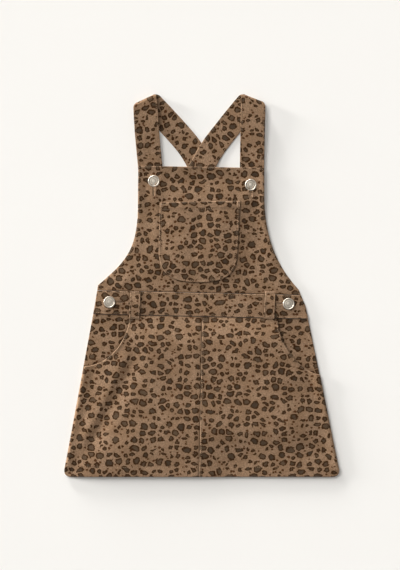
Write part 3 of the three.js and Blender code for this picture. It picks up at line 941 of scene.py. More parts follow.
@made_once("materials")
def satin_nickel(name):
    """Material: pale nickel with fine handling marks, darker in its grooves."""
    metal = settings().dress_metal
    material, tree, shader = material_of(name)
    place = tree.take("Object", "ShaderNodeTexCoord")
    marks = tree.noise(place, 1400.0, 4.0, "3D")
    clouds = tree.noise(place, 240.0, 3.0, "3D")
    groove = tree.take("Fac", "ShaderNodeAttribute", attribute_name="groove")
    base = tree.mix(tree.ramp(clouds, 0.3, 0.7), rgba(metal.nickel), rgba(metal.nickel, 0.78))
    low, high = metal.roughness * 0.8, metal.roughness * 1.35
    tree.fill(shader, {
        "Base Color": tree.mix(groove * 0.55, base, (0.16, 0.13, 0.10, 1.0)),
        "Metallic": 1.0,
        "Roughness": tree.ramp(marks, 0.3, 0.7, low, high, soft=False),
        "Normal": tree.bump(marks, 0.12, 0.05 * MM),
    })
    return material


# ---- Topstitching, by Geometry Nodes ----
@made_once("node_groups")
def stitch_rows(name):
    """Geometry Nodes: one rounded stitch after another along each line, then one plain mesh."""
    group, tree, given, result = group_of(
        name,
        [("Geometry", "NodeSocketGeometry", None), ("Pitch", "NodeSocketFloat", 2.9 * MM),
         ("Stitch Length", "NodeSocketFloat", 2.3 * MM), ("Thickness", "NodeSocketFloat", 0.5 * MM),
         ("Seed", "NodeSocketInt", 7), ("Material", "NodeSocketMaterial", None)],
        [("Geometry", "NodeSocketGeometry")],
        "GeometryNodeTree",
    )
    line = tree.take("Curve", "GeometryNodeMeshToCurve", {"Mesh": given["Geometry"]})
    inputs = {"Curve": line, "Length": given["Pitch"]}
    places = tree.take("Curve", "GeometryNodeResampleCurve", inputs, mode="LENGTH")
    bead = tree.take("Mesh", "GeometryNodeMeshUVSphere", {"Segments": 6, "Rings": 4, "Radius": 0.5})
    bead = tree.take("Geometry", "GeometryNodeSetShadeSmooth", {"Geometry": bead})
    inputs = {"Seed": given["Seed"], 0: (-0.1, -0.1, -0.05), 1: (0.1, 0.1, 0.05)}
    stray = tree.take(0, "FunctionNodeRandomValue", inputs, data_type="FLOAT_VECTOR")
    heading = tree.take(0, "GeometryNodeInputTangent") + stray
    turn = tree.take(0, "FunctionNodeAlignRotationToVector", {"Vector": heading}, axis="X")
    inputs = {"Seed": given["Seed"], 2: 0.82, 3: 1.12}
    swell = tree.take(1, "FunctionNodeRandomValue", inputs, data_type="FLOAT")
    size = tree.join(given["Stitch Length"], given["Thickness"], given["Thickness"]) * swell
    inputs = {"Points": places, "Instance": bead, "Rotation": turn, "Scale": size}
    placed_beads = tree.take("Instances", "GeometryNodeInstanceOnPoints", inputs)
    real = tree.take("Geometry", "GeometryNodeRealizeInstances", {"Geometry": placed_beads})
    inputs = {"Geometry": real, "Material": given["Material"]}
    tree.put(result["Geometry"], tree.take("Geometry", "GeometryNodeSetMaterial", inputs))
    return group


def set_input(modifier, name, value):
    for item in modifier.node_group.interface.items_tree:
        if item.item_type == "SOCKET" and item.in_out == "INPUT" and item.name == name:
            modifier[item.identifier] = value
            return
    raise RuntimeError(f"{modifier.node_group.name} has no input {name}")


def stitched(name, lines, pitch=None, length_share=0.8, thickness=None):
    """Makes one piece of all the stitches along these lines of points."""
    sewing = settings().dress_sewing
    points, edges = [], []
    for line in lines:
        start = len(points)
        points += [tuple(map(float, p)) for p in line]
        edges += [(i, i + 1) for i in range(start, len(points) - 1)]
    mesh = bpy.data.meshes.new(name + "_lines")
    mesh.from_pydata(points, edges, [])
    guide = placed(name + "_lines", mesh)
    modifier = guide.modifiers.new("stitches", "NODES")
    modifier.node_group = stitch_rows()
    pitch = pitch or sewing.stitch
    values = {"Pitch": pitch, "Stitch Length": pitch * length_share, "Seed": sewing.seed,
              "Thickness": thickness or sewing.thread, "Material": sewing_thread()}
    for key, value in values.items():
        set_input(modifier, key, value)
    made = bpy.data.meshes.new_from_object(guide.evaluated_get(bpy.context.evaluated_depsgraph_get()))
    made.name = name
    piece = placed(name, made)
    bpy.data.objects.remove(guide)
    bpy.data.meshes.remove(mesh)
    if not made.polygons:
        raise RuntimeError(f"{name} has no stitches")
    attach(piece, "root")
    return piece


def on_cloth(surface, row, lift):
    """A row of points in plan, laid on a piece's upper face. Breaks where it leaves the piece."""
    runs, run = [], []
    for x, y in row:
        height = height_at(surface, x, y)
        if height is None:
            runs.append(run)
            run = []
        else:
            run.append((x, y, height + lift))
    return [r for r in [*runs, run] if len(r) > 3]


# ---- Panels of the dress: where each is sewn ----
TURNED_TO = 3.1 * MM  # width of a turned edge
TURNED = {"ridge": 0.34 * MM, "ridge_to": TURNED_TO}
PAST_ROW = 0.8 * MM  # how far a hem's cloth goes past its stitches
HEM = (-0.01, 0.004)  # heights of the straight part of a skirt's hem
ABOVE_HEM = (0.05, 2.0)
BIB_LIFT = 1.9 * MM  # height that the rim of the bib stands above its solid
BIB_FOOT = (288 * MM, 335 * MM)  # heights above the hem between which that lift comes in
BIB_RIM = 22 * MM  # width of the lifted rim
LOOP_RISE = (0.5 * MM, -0.25 * MM)  # height of a belt loop's middle over its ends, and of its ends


def front_skirt_panel(side):
    sewing = settings().dress_sewing
    row, hem, left = sewing.edge_row, sewing.hem_row, side == "left"
    at = (lambda x, y: (x, y)) if left else (lambda x, y: (1 - x, y))
    centre = {"sink": 0.6 * MM} if left else {"rows": (row,), **TURNED}
    return Panel(f"front_skirt_{side}", {
        "hem": Edge(at(0.5, 0.0), (hem,), 0.4 * MM, hem + PAST_ROW, heights=HEM),
        "side": Edge(at(0.07, 0.3), bulk=2.4 * MM, heights=ABOVE_HEM),
        "opening": Edge(at(0.37, 0.78), (row,), **TURNED),
        "top": Edge(at(0.75, 1.0), sink=0.8 * MM),
        "centre": Edge(at(1.0, 0.4), **centre),
    })


def back_skirt_panel():
    hem = settings().dress_sewing.hem_row
    return Panel("back_skirt", {"hem": Edge((0.5, 0.0), (hem,), heights=HEM)})


def waistband_panel(node, under=()):
    row = settings().dress_sewing.edge_row
    return Panel(node, {
        "top": Edge((0.5, 0.9), (row,), 0.3 * MM, TURNED_TO),
        "bottom": Edge((0.5, 0.1), (row,), **TURNED),
    }, under=under)


def bib_rim(points, away):
    """The faced rim of the bib holds itself up a little, apart from the foot of the bib."""
    return BIB_LIFT * smooth(points[:, 1] - CAD_LOW.y, *BIB_FOOT) * (1 - smooth(away, 0, BIB_RIM))


def bib_panel():
    row = settings().dress_sewing.edge_row
    return Panel("front_bib", {
        "top": Edge((0.5, 0.99), (row,), **TURNED),
        "right_armhole": Edge((0.87, 0.35), (row,), 0.35 * MM, TURNED_TO, bulk=0.9 * MM),
        "left_armhole": Edge((0.16, 0.35), (row,), 0.35 * MM, TURNED_TO, bulk=0.4 * MM),
        "bottom": Edge((0.5, 0.02), sink=0.5 * MM),
    }, extra=bib_rim, under=[pocket_panel().edges["rim"].line])


def pocket_panel():
    sewing = settings().dress_sewing
    return Panel("bib_pocket", {
        "mouth": Edge((0.5, 1.0), (sewing.pocket_row,), 0.35 * MM, sewing.pocket_row + PAST_ROW),
        "rim": Edge((0.25, 0.0), (sewing.edge_row * 1.2,), **TURNED),
    })


def loop_panel(side):
    edge = ((1.9 * MM,), 0.25 * MM, 2.6 * MM)
    edges = {"left": Edge((0.02, 0.5), *edge), "right": Edge((0.98, 0.5), *edge)}
    return Panel(f"belt_loop_{side}", edges, extra=loop_hump)


def loop_hump(points, away):
    """A belt loop stands a little proud between its sewn ends."""
    low, high = points[:, 1].min(), points[:, 1].max()
    up = np.clip((points[:, 1] - low) / (high - low), 0, 1)
    return LOOP_RISE[0] * np.sin(np.pi * up) ** 0.7 + LOOP_RISE[1]


# ---- Straps ----
# Middle lines seen from above, in millimetres from the hem's middle: the front part from its hidden end
# up to the fold, then the back part down to the back waistband. The fold passes through edge, at the
# angle slant.
STRAPS = {
    "left": {
        "front": ((-70.4, 404), (-75.2, 455), (-79.5, 502)),
        "back": ((-45, 510.4), (-18.8, 480), (-5.8, 459), (45, 365)),
        "foot": 99, "edge": (-82, 548.6), "slant": 25.5,
    },
    "right": {
        "front": ((72, 402), (73, 455), (73.8, 502)),
        "back": ((42, 511), (14, 474), (-1.5, 446), (-50, 357)),
        "foot": -100, "edge": (74.5, 549.6), "slant": -21.5,
    },
}
STRAP_ROLL = 3.4 * MM  # radius of the roll where a strap folds over at the shoulder
STRAP_SETTLE = 122 * MM  # length over which the front part comes down from the fold
STRAP_LAYER = 1.5 * MM  # height of one strap lying on another
STRAP_CORNER = 4.6 * MM  # radius of the two corners of a strap's fold, seen from above
HOP_RAMP = 18 * MM  # length over which one strap climbs over the other
FRAME_CLOTH = 1.2 * MM  # thickness of the solids' cloth
NEAR_FOLD = (8 * MM, 34 * MM)  # distances over which a strap's rows stop being parallel to its fold
NEAR_SEAT = 30 * MM  # length over which they become parallel to the waistband
STRAP_END = 0.3 * MM  # gap left at both ends of a strap
WAIST_FALL = 0.0225  # how far the waistband falls from left to right, as a share of the way
QUARTER_ROLL = math.pi / 2 * STRAP_ROLL


def through(points, count=160):
    """A smooth line through the points, with even speed between near and far ones."""
    points = [2 * points[0] - points[1], *points, 2 * points[-1] - points[-2]]
    out = []
    for a, b, c, d in zip(points, points[1:], points[2:], points[3:]):
        gaps = (math.sqrt(float(np.linalg.norm(q - p))) for p, q in ((a, b), (b, c), (c, d)))
        before, between, after = gaps
        leave = ((b - a) / before - (c - a) / (before + between) + (c - b) / between) * between
        arrive = ((c - b) / between - (d - b) / (between + after) + (d - c) / after) * between
        t = np.linspace(0, 1, count, endpoint=False)[:, None]
        square, cube = 3 * (c - b) - 2 * leave - arrive, 2 * (b - c) + leave + arrive
        out.append(b + leave * t + square * t**2 + cube * t**3)
    return np.vstack([*out, points[-2]])


class Strip:
    """One strap as a flat strip of cloth, and where its points lie once it is turned over."""

    def __init__(self, side, climb=None):
        facts = STRAPS[side]
        slant = math.radians(facts["slant"])
        origin = np.array([0.0, CAD_LOW.y])
        self.out = np.array([-math.sin(slant), math.cos(slant)])
        roll_edge = QUARTER_ROLL - STRAP_ROLL - FRAME_CLOTH / 2
        self.turn = np.array(facts["edge"]) * MM + origin + self.out * roll_edge
        band_low, band_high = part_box("back_waistband")
        foot = facts["foot"] * MM
        seat = band_high.y - CAD_LOW.y - WAIST_FALL * (foot - band_low.x)
        back = [np.array(p) * MM for p in facts["back"]] + [np.array([foot, seat])]
        back = [p + origin - 2 * self.out * ((p + origin - self.turn) @ self.out) for p in back]
        line = through([*(np.array(p) * MM + origin for p in facts["front"]), self.turn, *back])
        steps = np.linalg.norm(np.diff(line, axis=0), axis=1)
        self.line, self.along = line, np.concatenate([[0.0], np.cumsum(steps)])
        self.length = float(self.along[-1])
        tangent = np.gradient(line, axis=0)
        self.tangent = tangent / np.linalg.norm(tangent, axis=1)[:, None]
        self.fold = float(self.along[np.argmax((line - self.turn) @ self.out >= 0)])
        self.seat = np.array([0.0, 1.0]) - 2 * self.out * self.out[1]
        self.climb = climb or (lambda points: np.zeros(len(points)))

    def flat(self, along, across):
        """Places on the flat strip, its rows parallel to the fold and to the waistband near them."""
        centre = np.column_stack([np.interp(along, self.along, self.line[:, k]) for k in (0, 1)])
        ahead = np.column_stack([np.interp(along, self.along, self.tangent[:, k]) for k in (0, 1)])
        aside = np.column_stack([ahead[:, 1], -ahead[:, 0]])
        near_fold = 1 - smooth(np.abs(along - self.fold), *NEAR_FOLD)
        near_seat = smooth(along, self.length - NEAR_SEAT, self.length)
        skew = -(aside @ self.out) / (ahead @ self.out) * near_fold
        skew -= (aside @ self.seat) / (ahead @ self.seat) * near_seat
        reach = np.abs(along - self.fold) * np.abs(ahead @ self.out)
        angle = np.clip(reach / STRAP_ROLL, 0, math.pi / 2)
        from_edge = STRAP_ROLL * (1 - np.cos(angle)) + np.maximum(reach - QUARTER_ROLL, 0)
        inset = STRAP_CORNER - np.sqrt(STRAP_CORNER**2 - np.clip(STRAP_CORNER - from_edge, 0, None) ** 2)
        across = across * (1 - inset / (settings().dress_sewing.strap_width / 2))
        return centre + aside * across[:, None] + ahead * (across * skew)[:, None]

    def turned(self, points):
        """Where the middle of the cloth lies once the strip is turned over at the shoulder."""
        base = settings().dress_sewing.strap_cloth / 2
        reach = (points - self.turn) @ self.out
        down = np.clip((-QUARTER_ROLL - reach) / STRAP_SETTLE, 0, 1)
        down = 0.65 * down + 0.35 * smooth(down, 0, 1)
        front = base + 2 * STRAP_ROLL + (STRAP_LAYER - 2 * STRAP_ROLL) * down
        under = points - 2 * reach[:, None] * self.out
        angle = np.clip((reach + QUARTER_ROLL) / STRAP_ROLL, 0, math.pi)
        rolled = points + (STRAP_ROLL * np.sin(angle) - QUARTER_ROLL - reach)[:, None] * self.out
        on_back, on_front = reach > QUARTER_ROLL, reach < -QUARTER_ROLL
        plan = np.where(on_back[:, None], under, np.where(on_front[:, None], points, rolled))
        height = np.where(on_front, front, base + STRAP_ROLL * (1 + np.cos(angle)))
        height = np.where(on_back, base + self.climb(under), height)
        return np.column_stack([plan, height])

    def middle(self, along, across):
        return self.turned(self.flat(along, across))

    def frame_at(self, along, across):
        """Middle of the cloth and its normal, up on the front part and down on the back part."""
        step = 0.1 * MM
        ahead = self.middle(along + step, across) - self.middle(along - step, across)
        aside = self.middle(along, across + step) - self.middle(along, across - step)
        normal = np.cross(aside, ahead)
        return self.middle(along, across), normal / np.linalg.norm(normal, axis=1)[:, None]


def crossing_climb(other):
    """Height by which a strap climbs over the back part of another one."""
    along = np.linspace(other.fold + QUARTER_ROLL, other.length, 160)
    route = other.middle(along, np.zeros(160))[:, :2]
    reach = settings().dress_sewing.strap_width / 2 + 2 * MM

    def climb(points):
        away = near_line(points, route)[0]
        return STRAP_LAYER * (1 - smooth(away, reach, reach + HOP_RAMP))

    return climb


def strap_columns(width, thickness, row):
    """Places across a strap, close together at its edges and stitched rows."""
    half = width / 2
    edge = [half, half - 0.12 * thickness, half - 0.5 * thickness, half - 1.1 * MM]
    rows = [half - row + shift for shift in (0.8 * MM, 0.0, -0.8 * MM)]
    inner = list(np.linspace(half - row - 2.2 * MM, 0, 6))
    right = edge + rows + inner
    return np.array([-x for x in right[:-1]] + right[::-1])


def corners_of(quad):
    """The corners of a face without those that repeat the one before."""
    return [corner for n, corner in enumerate(quad) if corner != quad[n - 1]]


def strip_faces(count, width):
    """Triangles of a closed strip whose upper and lower points share their numbers along both edges."""
    number = np.arange(count * width).reshape(count, width)
    below = number + count * width
    below[:, 0], below[:, -1] = number[:, 0], number[:, -1]
    faces = []
    for i in range(count - 1):
        for j in range(width - 1):
            a, b, c, d = number[i, j], number[i, j + 1], number[i + 1, j + 1], number[i + 1, j]
            faces += [(a, b, c), (a, c, d)]
            a, b, c, d = below[i, j], below[i, j + 1], below[i + 1, j + 1], below[i + 1, j]
            faces += [(a, c, b), (a, d, c)]
    for i, order in ((0, 1), (count - 1, -1)):
        for j in range(width - 1):
            quad = corners_of([number[i, j], below[i, j], below[i, j + 1], number[i, j + 1]][::order])
            faces += [(quad[0], quad[k], quad[k + 1]) for k in range(1, len(quad) - 1)]
    return faces


def strap_piece(side, strip, offset_cut):
    """One strap: a closed skin round the doubled cloth."""
    sewing = settings().dress_sewing
    thickness, half = sewing.strap_cloth, sewing.strap_width / 2
    columns = strap_columns(sewing.strap_width, thickness, sewing.edge_row)
    fine = np.linspace(strip.fold - 10 * MM, strip.fold + 10 * MM, 41)
    front = np.linspace(STRAP_END, fine[0], int(fine[0] / (2.4 * MM)))[:-1]
    last = strip.length - STRAP_END
    back = np.linspace(fine[-1], last, int((strip.length - fine[-1]) / (2.6 * MM)))[1:]
    rows = np.concatenate([front, fine, back])
    along, across = (g.ravel() for g in np.meshgrid(rows, columns, indexing="ij"))
    middle, normal = strip.frame_at(along, across)
    edge = half - np.abs(across)
    row = edge - sewing.edge_row
    seed = sewing.seed + 90 + len(side)
    pull = waves(along, np.sign(across) * 40 * MM, 5.5 * MM, seed)
    pull += 0.6 * waves(along, across, 3.1 * MM, seed + 1)
    relief = sewing.pucker * pull * bell(row, 4.0 * MM) - 0.25 * MM * bell(row, 0.7 * MM)
    relief += 0.18 * MM * (1 - smooth(edge, sewing.edge_row, 4 * MM))
    relief += 0.25 * MM * waves(along, across, 17 * MM, seed + 2)
    relief *= smooth(along, 0, 6 * MM) * (1 - smooth(along, strip.length - 6 * MM, strip.length))
    rounding = edge_rounding(edge, thickness)
    half_thick = thickness / 2 * (1 - rounding)
    up = middle + normal * (half_thick + relief * (1 - rounding))[:, None]
    down = middle - normal * half_thick[:, None]
    down[:, 2] = np.maximum(down[:, 2], 0.0)
    up[:, 2] = np.maximum(up[:, 2], 0.0)
    # painted shade in the stitched rows, and paler edges: partly faded cloth, partly painted highlight
    wear = -0.6 * bell(row, 0.8 * MM) + 0.2 * (1 - smooth(edge, 0.2 * MM, 1.6 * MM))
    used, compact = np.unique(np.array(strip_faces(len(rows), len(columns))), return_inverse=True)
    cut = np.vstack([np.column_stack([across, along])] * 2) + np.array(offset_cut)
    piece = make_mesh(f"cloth_strap_{side}", np.vstack([up, down])[used], compact.reshape(-1, 3),
                      [spotted_twill()], cut[used], wear=np.concatenate([wear, wear])[used])
    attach(piece, "root")
    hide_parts(f"strap_{side}")
    ["cloth_back_waistband"] if side == "left" else ["cloth_strap_left"]
    return piece


# ---- Buttons ----
CAP = 2.3 * MM  # height of a button's cap
SHANK = 2.0 * MM  # radius of its shank
# Section of the cap from its edge to its middle: a share of the radius less an inset in millimetres, the
# height above the cap's foot in millimetres, and how deep in a groove that is.
CAP_SECTION = (
    (1, 1.5, 0, 0), (1, 0.45, 0.2, 0), (1, 0.1, 0.6, 0), (1, 0, 1.05, 0), (1, 0.08, 1.5, 0),
    (1, 0.35, 1.95, 0), (1, 0.8, 2.22, 0), (1, 1.25, 2.3, 0), (1, 1.65, 2.18, 0), (1, 1.95, 1.85, 0.6),
    (1, 2.2, 1.62, 1), (1, 2.5, 1.68, 0.5), (0.58, 0, 1.86, 0), (0.5, 0, 1.93, 0), (0.44, 0, 1.93, 0.2),
    (0.41, 0, 1.8, 0.8), (0.37, 0, 1.78, 0.7), (0.33, 0, 1.92, 0.1), (0.24, 0, 2.02, 0),
    (0.12, 0, 2.08, 0), (0, 0, 2.1, 0),
)


def button_piece(node, around=64):
    """A two-part shank button: a rolled rim round a gently domed face with one plain ring."""
    low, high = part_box(node)
    middle, full, foot = (low + high) / 2, (high.x - low.x) / 2, high.z - CAP
    profile = [(0.0, low.z, 0), (SHANK, low.z, 0), (SHANK, foot, 1)]
    profile += [(part * full - inset * MM, foot + up * MM, deep) for part, inset, up, deep in CAP_SECTION]
    points, groove, rings = [], [], []
    for radius, height, depth in profile:
        start, number = len(points), 1 if radius == 0 else around
        for k in range(number):
            angle = 2 * math.pi * k / around
            x, y = middle.x + radius * math.cos(angle), middle.y + radius * math.sin(angle)
            points.append((x, y, height))
        rings.append([start + k % number for k in range(around)])
        groove += [depth] * number
    faces = []
    for lower, upper in zip(rings, rings[1:]):
        for k in range(around):
            after = (k + 1) % around
            faces.append(corners_of([lower[k], lower[after], upper[after], upper[k]]))
    piece = make_mesh("metal_" + node, points, faces, [satin_nickel()], groove=groove)
    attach(piece, "root")
    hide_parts(node)
    return piece


# ---- Operators ----
STRIPS = {}  # the flat strip of each strap


class DRESS_OT_back(bpy.types.Operator):
    """Makes the back of the skirt and of the waistband, which the dress lies on"""

    bl_idname = "dress.make_back"
    bl_label = "Back"
    bl_options = {"REGISTER", "UNDO"}

    def execute(self, context):
        plain = {"step": 4 * MM, "folds": False, "facing": -1}
        make_panel(back_skirt_panel(), [], (1.31, 0.27), **plain)
        make_panel(waistband_panel("back_waistband"), [], (1.17, 0.61), **plain)
        return {"FINISHED"}


class DRESS_OT_facings(bpy.types.Operator):
    """Makes the cloth behind the two scooped side openings"""

    bl_idname = "dress.make_facings"
    bl_label = "Pocket facings"
    bl_options = {"REGISTER", "UNDO"}

    def execute(self, context):
        for side, offset_cut in (("left", (0.43, 0.12)), ("right", (0.77, 0.35))):
            scoop = front_skirt_panel(side).edges["opening"].line
            panel = Panel(f"pocket_facing_{side}", {}, under=[scoop])
            make_panel(panel, ["cloth_back_skirt"], offset_cut, step=3 * MM, folds=False)
        return {"FINISHED"}


class DRESS_OT_skirt(bpy.types.Operator):
    """Makes the two halves of the skirt's front"""

    bl_idname = "dress.make_skirt"
    bl_label = "Skirt front"
    bl_options = {"REGISTER", "UNDO"}

    def execute(self, context):
        for side, offset_cut in (("left", (0.0, 0.0)), ("right", (0.31, 0.47))):
            make_panel(front_skirt_panel(side), ["cloth_back_skirt"], offset_cut)
        return {"FINISHED"}


class DRESS_OT_waistband(bpy.types.Operator):
    """Makes the front waistband"""

    bl_idname = "dress.make_waistband"
    bl_label = "Waistband"
    bl_options = {"REGISTER", "UNDO"}

    def execute(self, context):
        loops = [edge.line for side in ("left", "right") for edge in loop_panel(side).edges.values()]
        panel = waistband_panel("front_waistband", under=loops)
        make_panel(panel, ["cloth_back_waistband"], (0.09, 0.83), rounds=12)
        return {"FINISHED"}


class DRESS_OT_bib(bpy.types.Operator):
    """Makes the bib"""

    bl_idname = "dress.make_bib"
    bl_label = "Bib"
    bl_options = {"REGISTER", "UNDO"}

    def execute(self, context):
        make_panel(bib_panel(), ["cloth_strap_left", "cloth_strap_right"], (0.62, 0.15))
        return {"FINISHED"}


class DRESS_OT_pocket(bpy.types.Operator):
    """Makes the patch pocket on the bib"""

    bl_idname = "dress.make_pocket"
    bl_label = "Bib pocket"
    bl_options = {"REGISTER", "UNDO"}

    def execute(self, context):
        make_panel(pocket_panel(), ["cloth_front_bib"], (0.21, 1.13), rounds=12)
        return {"FINISHED"}


class DRESS_OT_loops(bpy.types.Operator):
    """Makes the two belt loops"""

    bl_idname = "dress.make_loops"
    bl_label = "Belt loops"
    bl_options = {"REGISTER", "UNDO"}

    def execute(self, context):
        for side, offset_cut in (("left", (0.51, 0.92)), ("right", (0.84, 0.71))):
            make_panel(loop_panel(side), ["cloth_front_waistband"], offset_cut, step=1.2 * MM, rounds=6,
                       folds=False)
        return {"FINISHED"}


class DRESS_OT_straps(bpy.types.Operator):
    """Makes the two straps, which cross behind the bib"""

    bl_idname = "dress.make_straps"
    bl_label = "Straps"
    bl_options = {"REGISTER", "UNDO"}

    def execute(self, context):
        left = Strip("left")
        right = Strip("right", crossing_climb(left))
        for side, strip, offset_cut in (("left", left, (1.9, 0.2)), ("right", right, (2.3, 0.6))):
            strap_piece(side, strip, offset_cut)
            STRIPS[side] = strip
        return {"FINISHED"}


class DRESS_OT_buttons(bpy.types.Operator):
    """Makes the four shank buttons"""

    bl_idname = "dress.make_buttons"
    bl_label = "Buttons"
    bl_options = {"REGISTER", "UNDO"}

    def execute(self, context):
        for node in ("button_bib_left", "button_bib_right", "button_side_left", "button_side_right"):
            button_piece(node)
        return {"FINISHED"}


def strap_rows(strip):
    """The stitched rows that show on a strap: the upper face before the fold, the other face after it."""
    sewing = settings().dress_sewing
    inset = sewing.strap_width / 2 - sewing.edge_row
    parts = ((4 * MM, strip.fold + 2.5 * MM, 1), (strip.fold + 5 * MM, strip.length - 4 * MM, -1))
    rows = []
    for across in (-inset, inset):
        for start, end, face in parts:
            along = np.linspace(start, end, int((end - start) / (1.4 * MM)))
            middle, normal = strip.frame_at(along, np.full(len(along), across))
            lift = sewing.strap_cloth / 2 - 0.1 * MM
            rows.append(middle + normal * face * lift)
    return rows


BAR_GAP = 0.62 * MM  # distance from one stitch of a buttonhole to the next
BAR_FROM, BAR_TO = 0.15 * MM, 2.1 * MM  # distances of a stitch's ends from the slit


def buttonhole_rows(panel, surface):
    """Close stitches round each buttonhole, each one pointing away from the slit."""
    bars = []
    for hole in panel.holes:
        ring = spaced(np.vstack([hole, hole[:1]]), 0.4 * MM)
        away = offset(ring, 1.0)[:, :2] - ring
        steps = np.concatenate([[0.0], np.cumsum(np.linalg.norm(np.diff(ring, axis=0), axis=1))])
        for place in np.arange(0, steps[-1], BAR_GAP):
            k = min(int(np.searchsorted(steps, place)), len(ring) - 1)
            near, far = ring[k] + away[k] * BAR_FROM, ring[k] + away[k] * BAR_TO
            bars += on_cloth(surface, np.linspace(near, far, 5), 0.12 * MM)
    return bars


TACK = 1.9 * MM  # width of a tack
TACK_GAP = 0.6 * MM  # distance from one of its stitches to the next


def tack(surface, start, end):
    """A dense bar of stitches across a short line."""
    start, end = np.array(start), np.array(end)
    step = (end - start) / np.linalg.norm(end - start)
    side = np.array([-step[1], step[0]]) * TACK / 2
    bars = []
    for place in np.arange(0, np.linalg.norm(end - start), TACK_GAP):
        at = start + step * place
        bars += on_cloth(surface, np.linspace(at - side, at + side, 5), 0.15 * MM)
    return bars


def rows_of(name):
    """The stitched rows along the sides of a panel, laid on its piece."""
    panel, surface = PANELS[name], SURFACES[name]
    rows = []
    for edge in panel.edges.values():
        for row in edge.rows:
            line = offset(spaced(edge.line, 1.2 * MM), row)
            line = line[within(panel, line) & (border_distance(panel, line) > 0.85 * min(row, 2 * MM))]
            rows += on_cloth(surface, line, 0.05 * MM)
    return rows


def all_tacks():
    """Tacks across both ends of the belt loops and down the corners of the pocket's mouth."""
    bars = []
    for name in ("cloth_belt_loop_left", "cloth_belt_loop_right"):
        (left, foot), (right, head) = PANELS[name].outline.min(0), PANELS[name].outline.max(0)
        for y in (foot + 1.4 * MM, head - 1.4 * MM):
            bars += tack(SURFACES[name], (left + 2 * MM, y), (right - 2 * MM, y))
    pocket = "cloth_bib_pocket"
    (left, _), (right, head) = PANELS[pocket].outline.min(0), PANELS[pocket].outline.max(0)
    for x in (left + 2.6 * MM, right - 2.6 * MM):
        bars += tack(SURFACES[pocket], (x, head - 8.5 * MM), (x, head - 0.8 * MM))
    return bars


STITCHED = {
    "stitching_skirt": ("cloth_front_skirt_left", "cloth_front_skirt_right"),
    "stitching_waistband": ("cloth_front_waistband",),
    "stitching_bib": ("cloth_front_bib",),
    "stitching_pocket": ("cloth_bib_pocket",),
    "stitching_loops": ("cloth_belt_loop_left", "cloth_belt_loop_right"),
}


class DRESS_OT_stitching(bpy.types.Operator):
    """Makes the topstitching of every piece, the stitched edges of the buttonholes and the tacks"""

    bl_idname = "dress.make_stitching"
    bl_label = "Stitching"
    bl_options = {"REGISTER", "UNDO"}

    def execute(self, context):
        for name, pieces in STITCHED.items():
            stitched(name, [row for piece in pieces for row in rows_of(piece)])
        stitched("stitching_straps", [row for strip in STRIPS.values() for row in strap_rows(strip)])
        holes = [bar for piece in ("cloth_front_bib", "cloth_front_waistband")
                 for bar in buttonhole_rows(PANELS[piece], SURFACES[piece])]
        dense = {"length_share": 1.0, "thickness": 0.5 * MM}
        stitched("stitching_buttonholes", holes, pitch=1.9 * MM, **dense)
        stitched("stitching_tacks", all_tacks(), pitch=2.0 * MM, **dense)
        return {"FINISHED"}


# ---- Floor, lights and camera ----
FLOOR_REACH = 30.0
FLOOR_DROP = 0.15 * MM  # gap under the lowest points of the dress
LIGHT = (1.0, 0.985, 0.955)  # colour of the lights
SUNS = (  # name, its strength's setting, softness, azimuth and elevation in degrees
    ("key", "key", 26.0, 135.0, 38.0),
    ("low_left", "low", 11.0, 160.0, 7.0),
    ("low_top", "low", 11.0, 115.0, 7.0),
)
TOP_PLACE, TOP_SIZE = (-0.25, 0.25, 2.7), 1.3
VIEW_SHAPE = 1.425  # height of the view as a share of its width
VIEW_ASIDE = -2.5 * MM  # how far the view's middle is to the right of the dress's
VIEW_LEVEL = 4 * MM  # height at which the view has the stated width
SENSOR = 36.0  # width of the camera's sensor in millimetres


def make_floor(stage):
    mesh = bpy.data.meshes.new("floor")
    far = FLOOR_REACH
    corners = [(x, y, -FLOOR_DROP) for x, y in ((-far, -far), (far, -far), (far, far), (-far, far))]
    mesh.from_pydata(corners, [], [(0, 1, 2, 3)])
    floor = placed("floor", mesh)
    material, tree, shader = material_of("floor_card")
    grain = tree.noise(tree.take("Object", "ShaderNodeTexCoord"), 6.0, 2.0, "3D")
    paper = tree.mix(grain, rgba(stage.floor, 0.985), rgba(stage.floor))
    tree.fill(shader, {"Base Color": paper, "Roughness": 0.9, "Specular IOR Level": 0.1})
    mesh.materials.append(material)


def make_lights(stage):
    for name, setting, softness, azimuth, elevation in SUNS:
        lamp = bpy.data.lights.new(name, "SUN")
        lamp.energy, lamp.angle, lamp.color = getattr(stage, setting), math.radians(softness), LIGHT
        a, e = math.radians(azimuth), math.radians(elevation)
        towards = Vector((math.cos(a) * math.cos(e), math.sin(a) * math.cos(e), math.sin(e)))
        placed(name, lamp).rotation_euler = towards.to_track_quat("Z", "Y").to_euler()
    lamp = bpy.data.lights.new("top", "AREA")
    lamp.shape, lamp.size, lamp.energy, lamp.color = "DISK", TOP_SIZE, stage.top, LIGHT
    placed("top", lamp).location = TOP_PLACE


def make_surroundings(stage):
    """Pale walls all round, seen low down, and a dimmer ceiling."""
    world = bpy.data.worlds.new("studio")
    world.use_nodes = True
    tree = Tree(world.node_tree)
    _, _, height = tree.split(tree.take("Generated", "ShaderNodeTexCoord"))
    walls = tuple(c * stage.walls for c in (1.0, 0.975, 0.93))
    ceiling = tuple(c * stage.fill for c in (1.0, 0.985, 0.96))
    sky = tree.mix(tree.ramp(height, 0.05, 0.45, 1.0, 0.0), (*ceiling, 1.0), (*walls, 1.0))
    tree.fill(world.node_tree.nodes["Background"], {"Color": sky})
    bpy.context.scene.world = world
    bpy.context.scene.view_settings.view_transform = "Standard"


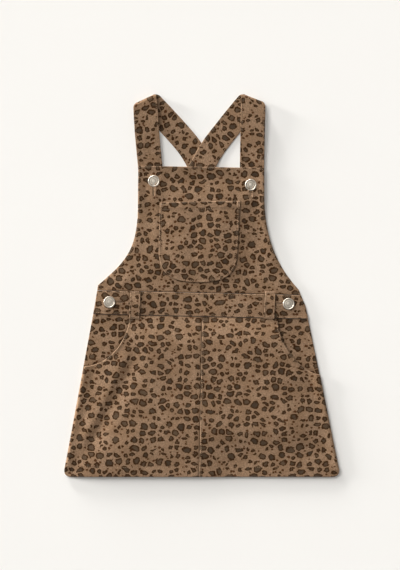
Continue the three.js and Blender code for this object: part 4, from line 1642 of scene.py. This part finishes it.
def make_camera(stage):
    """Straight above the dress, a little to its left, as wide as the laid dress with its margins."""
    lens = bpy.data.cameras.new("camera")
    lens.lens, lens.sensor_width = stage.lens, SENSOR
    camera = placed("camera", lens)
    away = stage.view_width * VIEW_SHAPE * stage.lens / SENSOR
    middle = (CAD_LOW + CAD_HIGH) / 2
    camera.location = (middle.x + VIEW_ASIDE, middle.y, away + VIEW_LEVEL)
    bpy.context.scene.camera = camera


class DRESS_OT_stage(bpy.types.Operator):
    """Makes the floor, the lights and the camera"""

    bl_idname = "dress.make_stage"
    bl_label = "Stage"
    bl_options = {"REGISTER", "UNDO"}

    def execute(self, context):
        for make in (make_floor, make_lights, make_surroundings, make_camera):
            make(settings().dress_stage)
        return {"FINISHED"}


class DRESS_PT_panel(bpy.types.Panel):
    """Lists the sizes, the colours and the pieces of the dress"""

    bl_idname = "DRESS_PT_panel"
    bl_label = "Pinafore dress"
    bl_space_type = "VIEW_3D"
    bl_region_type = "UI"
    bl_category = "Dress"

    def draw(self, context):
        for key, group in GROUPS:
            box = self.layout.box()
            for name in group.__annotations__:
                box.prop(getattr(context.scene, key), name)
        for maker in MAKERS:
            self.layout.operator(maker.bl_idname)


GROUPS = (
    ("dress_sewing", DressSewing), ("dress_print", DressPrint), ("dress_metal", DressMetal),
    ("dress_stage", DressStage),
)
MAKERS = (
    DRESS_OT_back, DRESS_OT_facings, DRESS_OT_skirt, DRESS_OT_waistband, DRESS_OT_straps, DRESS_OT_bib,
    DRESS_OT_pocket, DRESS_OT_loops, DRESS_OT_buttons, DRESS_OT_stitching, DRESS_OT_stage,
)


def register():
    """Adds the settings, the operators and the panel to Blender."""
    for name, group in GROUPS:
        bpy.utils.register_class(group)
        setattr(bpy.types.Scene, name, PointerProperty(type=group))
    for maker in (*MAKERS, DRESS_PT_panel):
        bpy.utils.register_class(maker)


def unregister():
    for maker in reversed((*MAKERS, DRESS_PT_panel)):
        bpy.utils.unregister_class(maker)
    for name, group in reversed(GROUPS):
        delattr(bpy.types.Scene, name)
        bpy.utils.unregister_class(group)


def main():
    """Makes every piece in order."""
    register()
    for maker in MAKERS:
        family, name = maker.bl_idname.split(".")
        getattr(getattr(bpy.ops, family), name)()


if __name__ == "__main__":
    main()
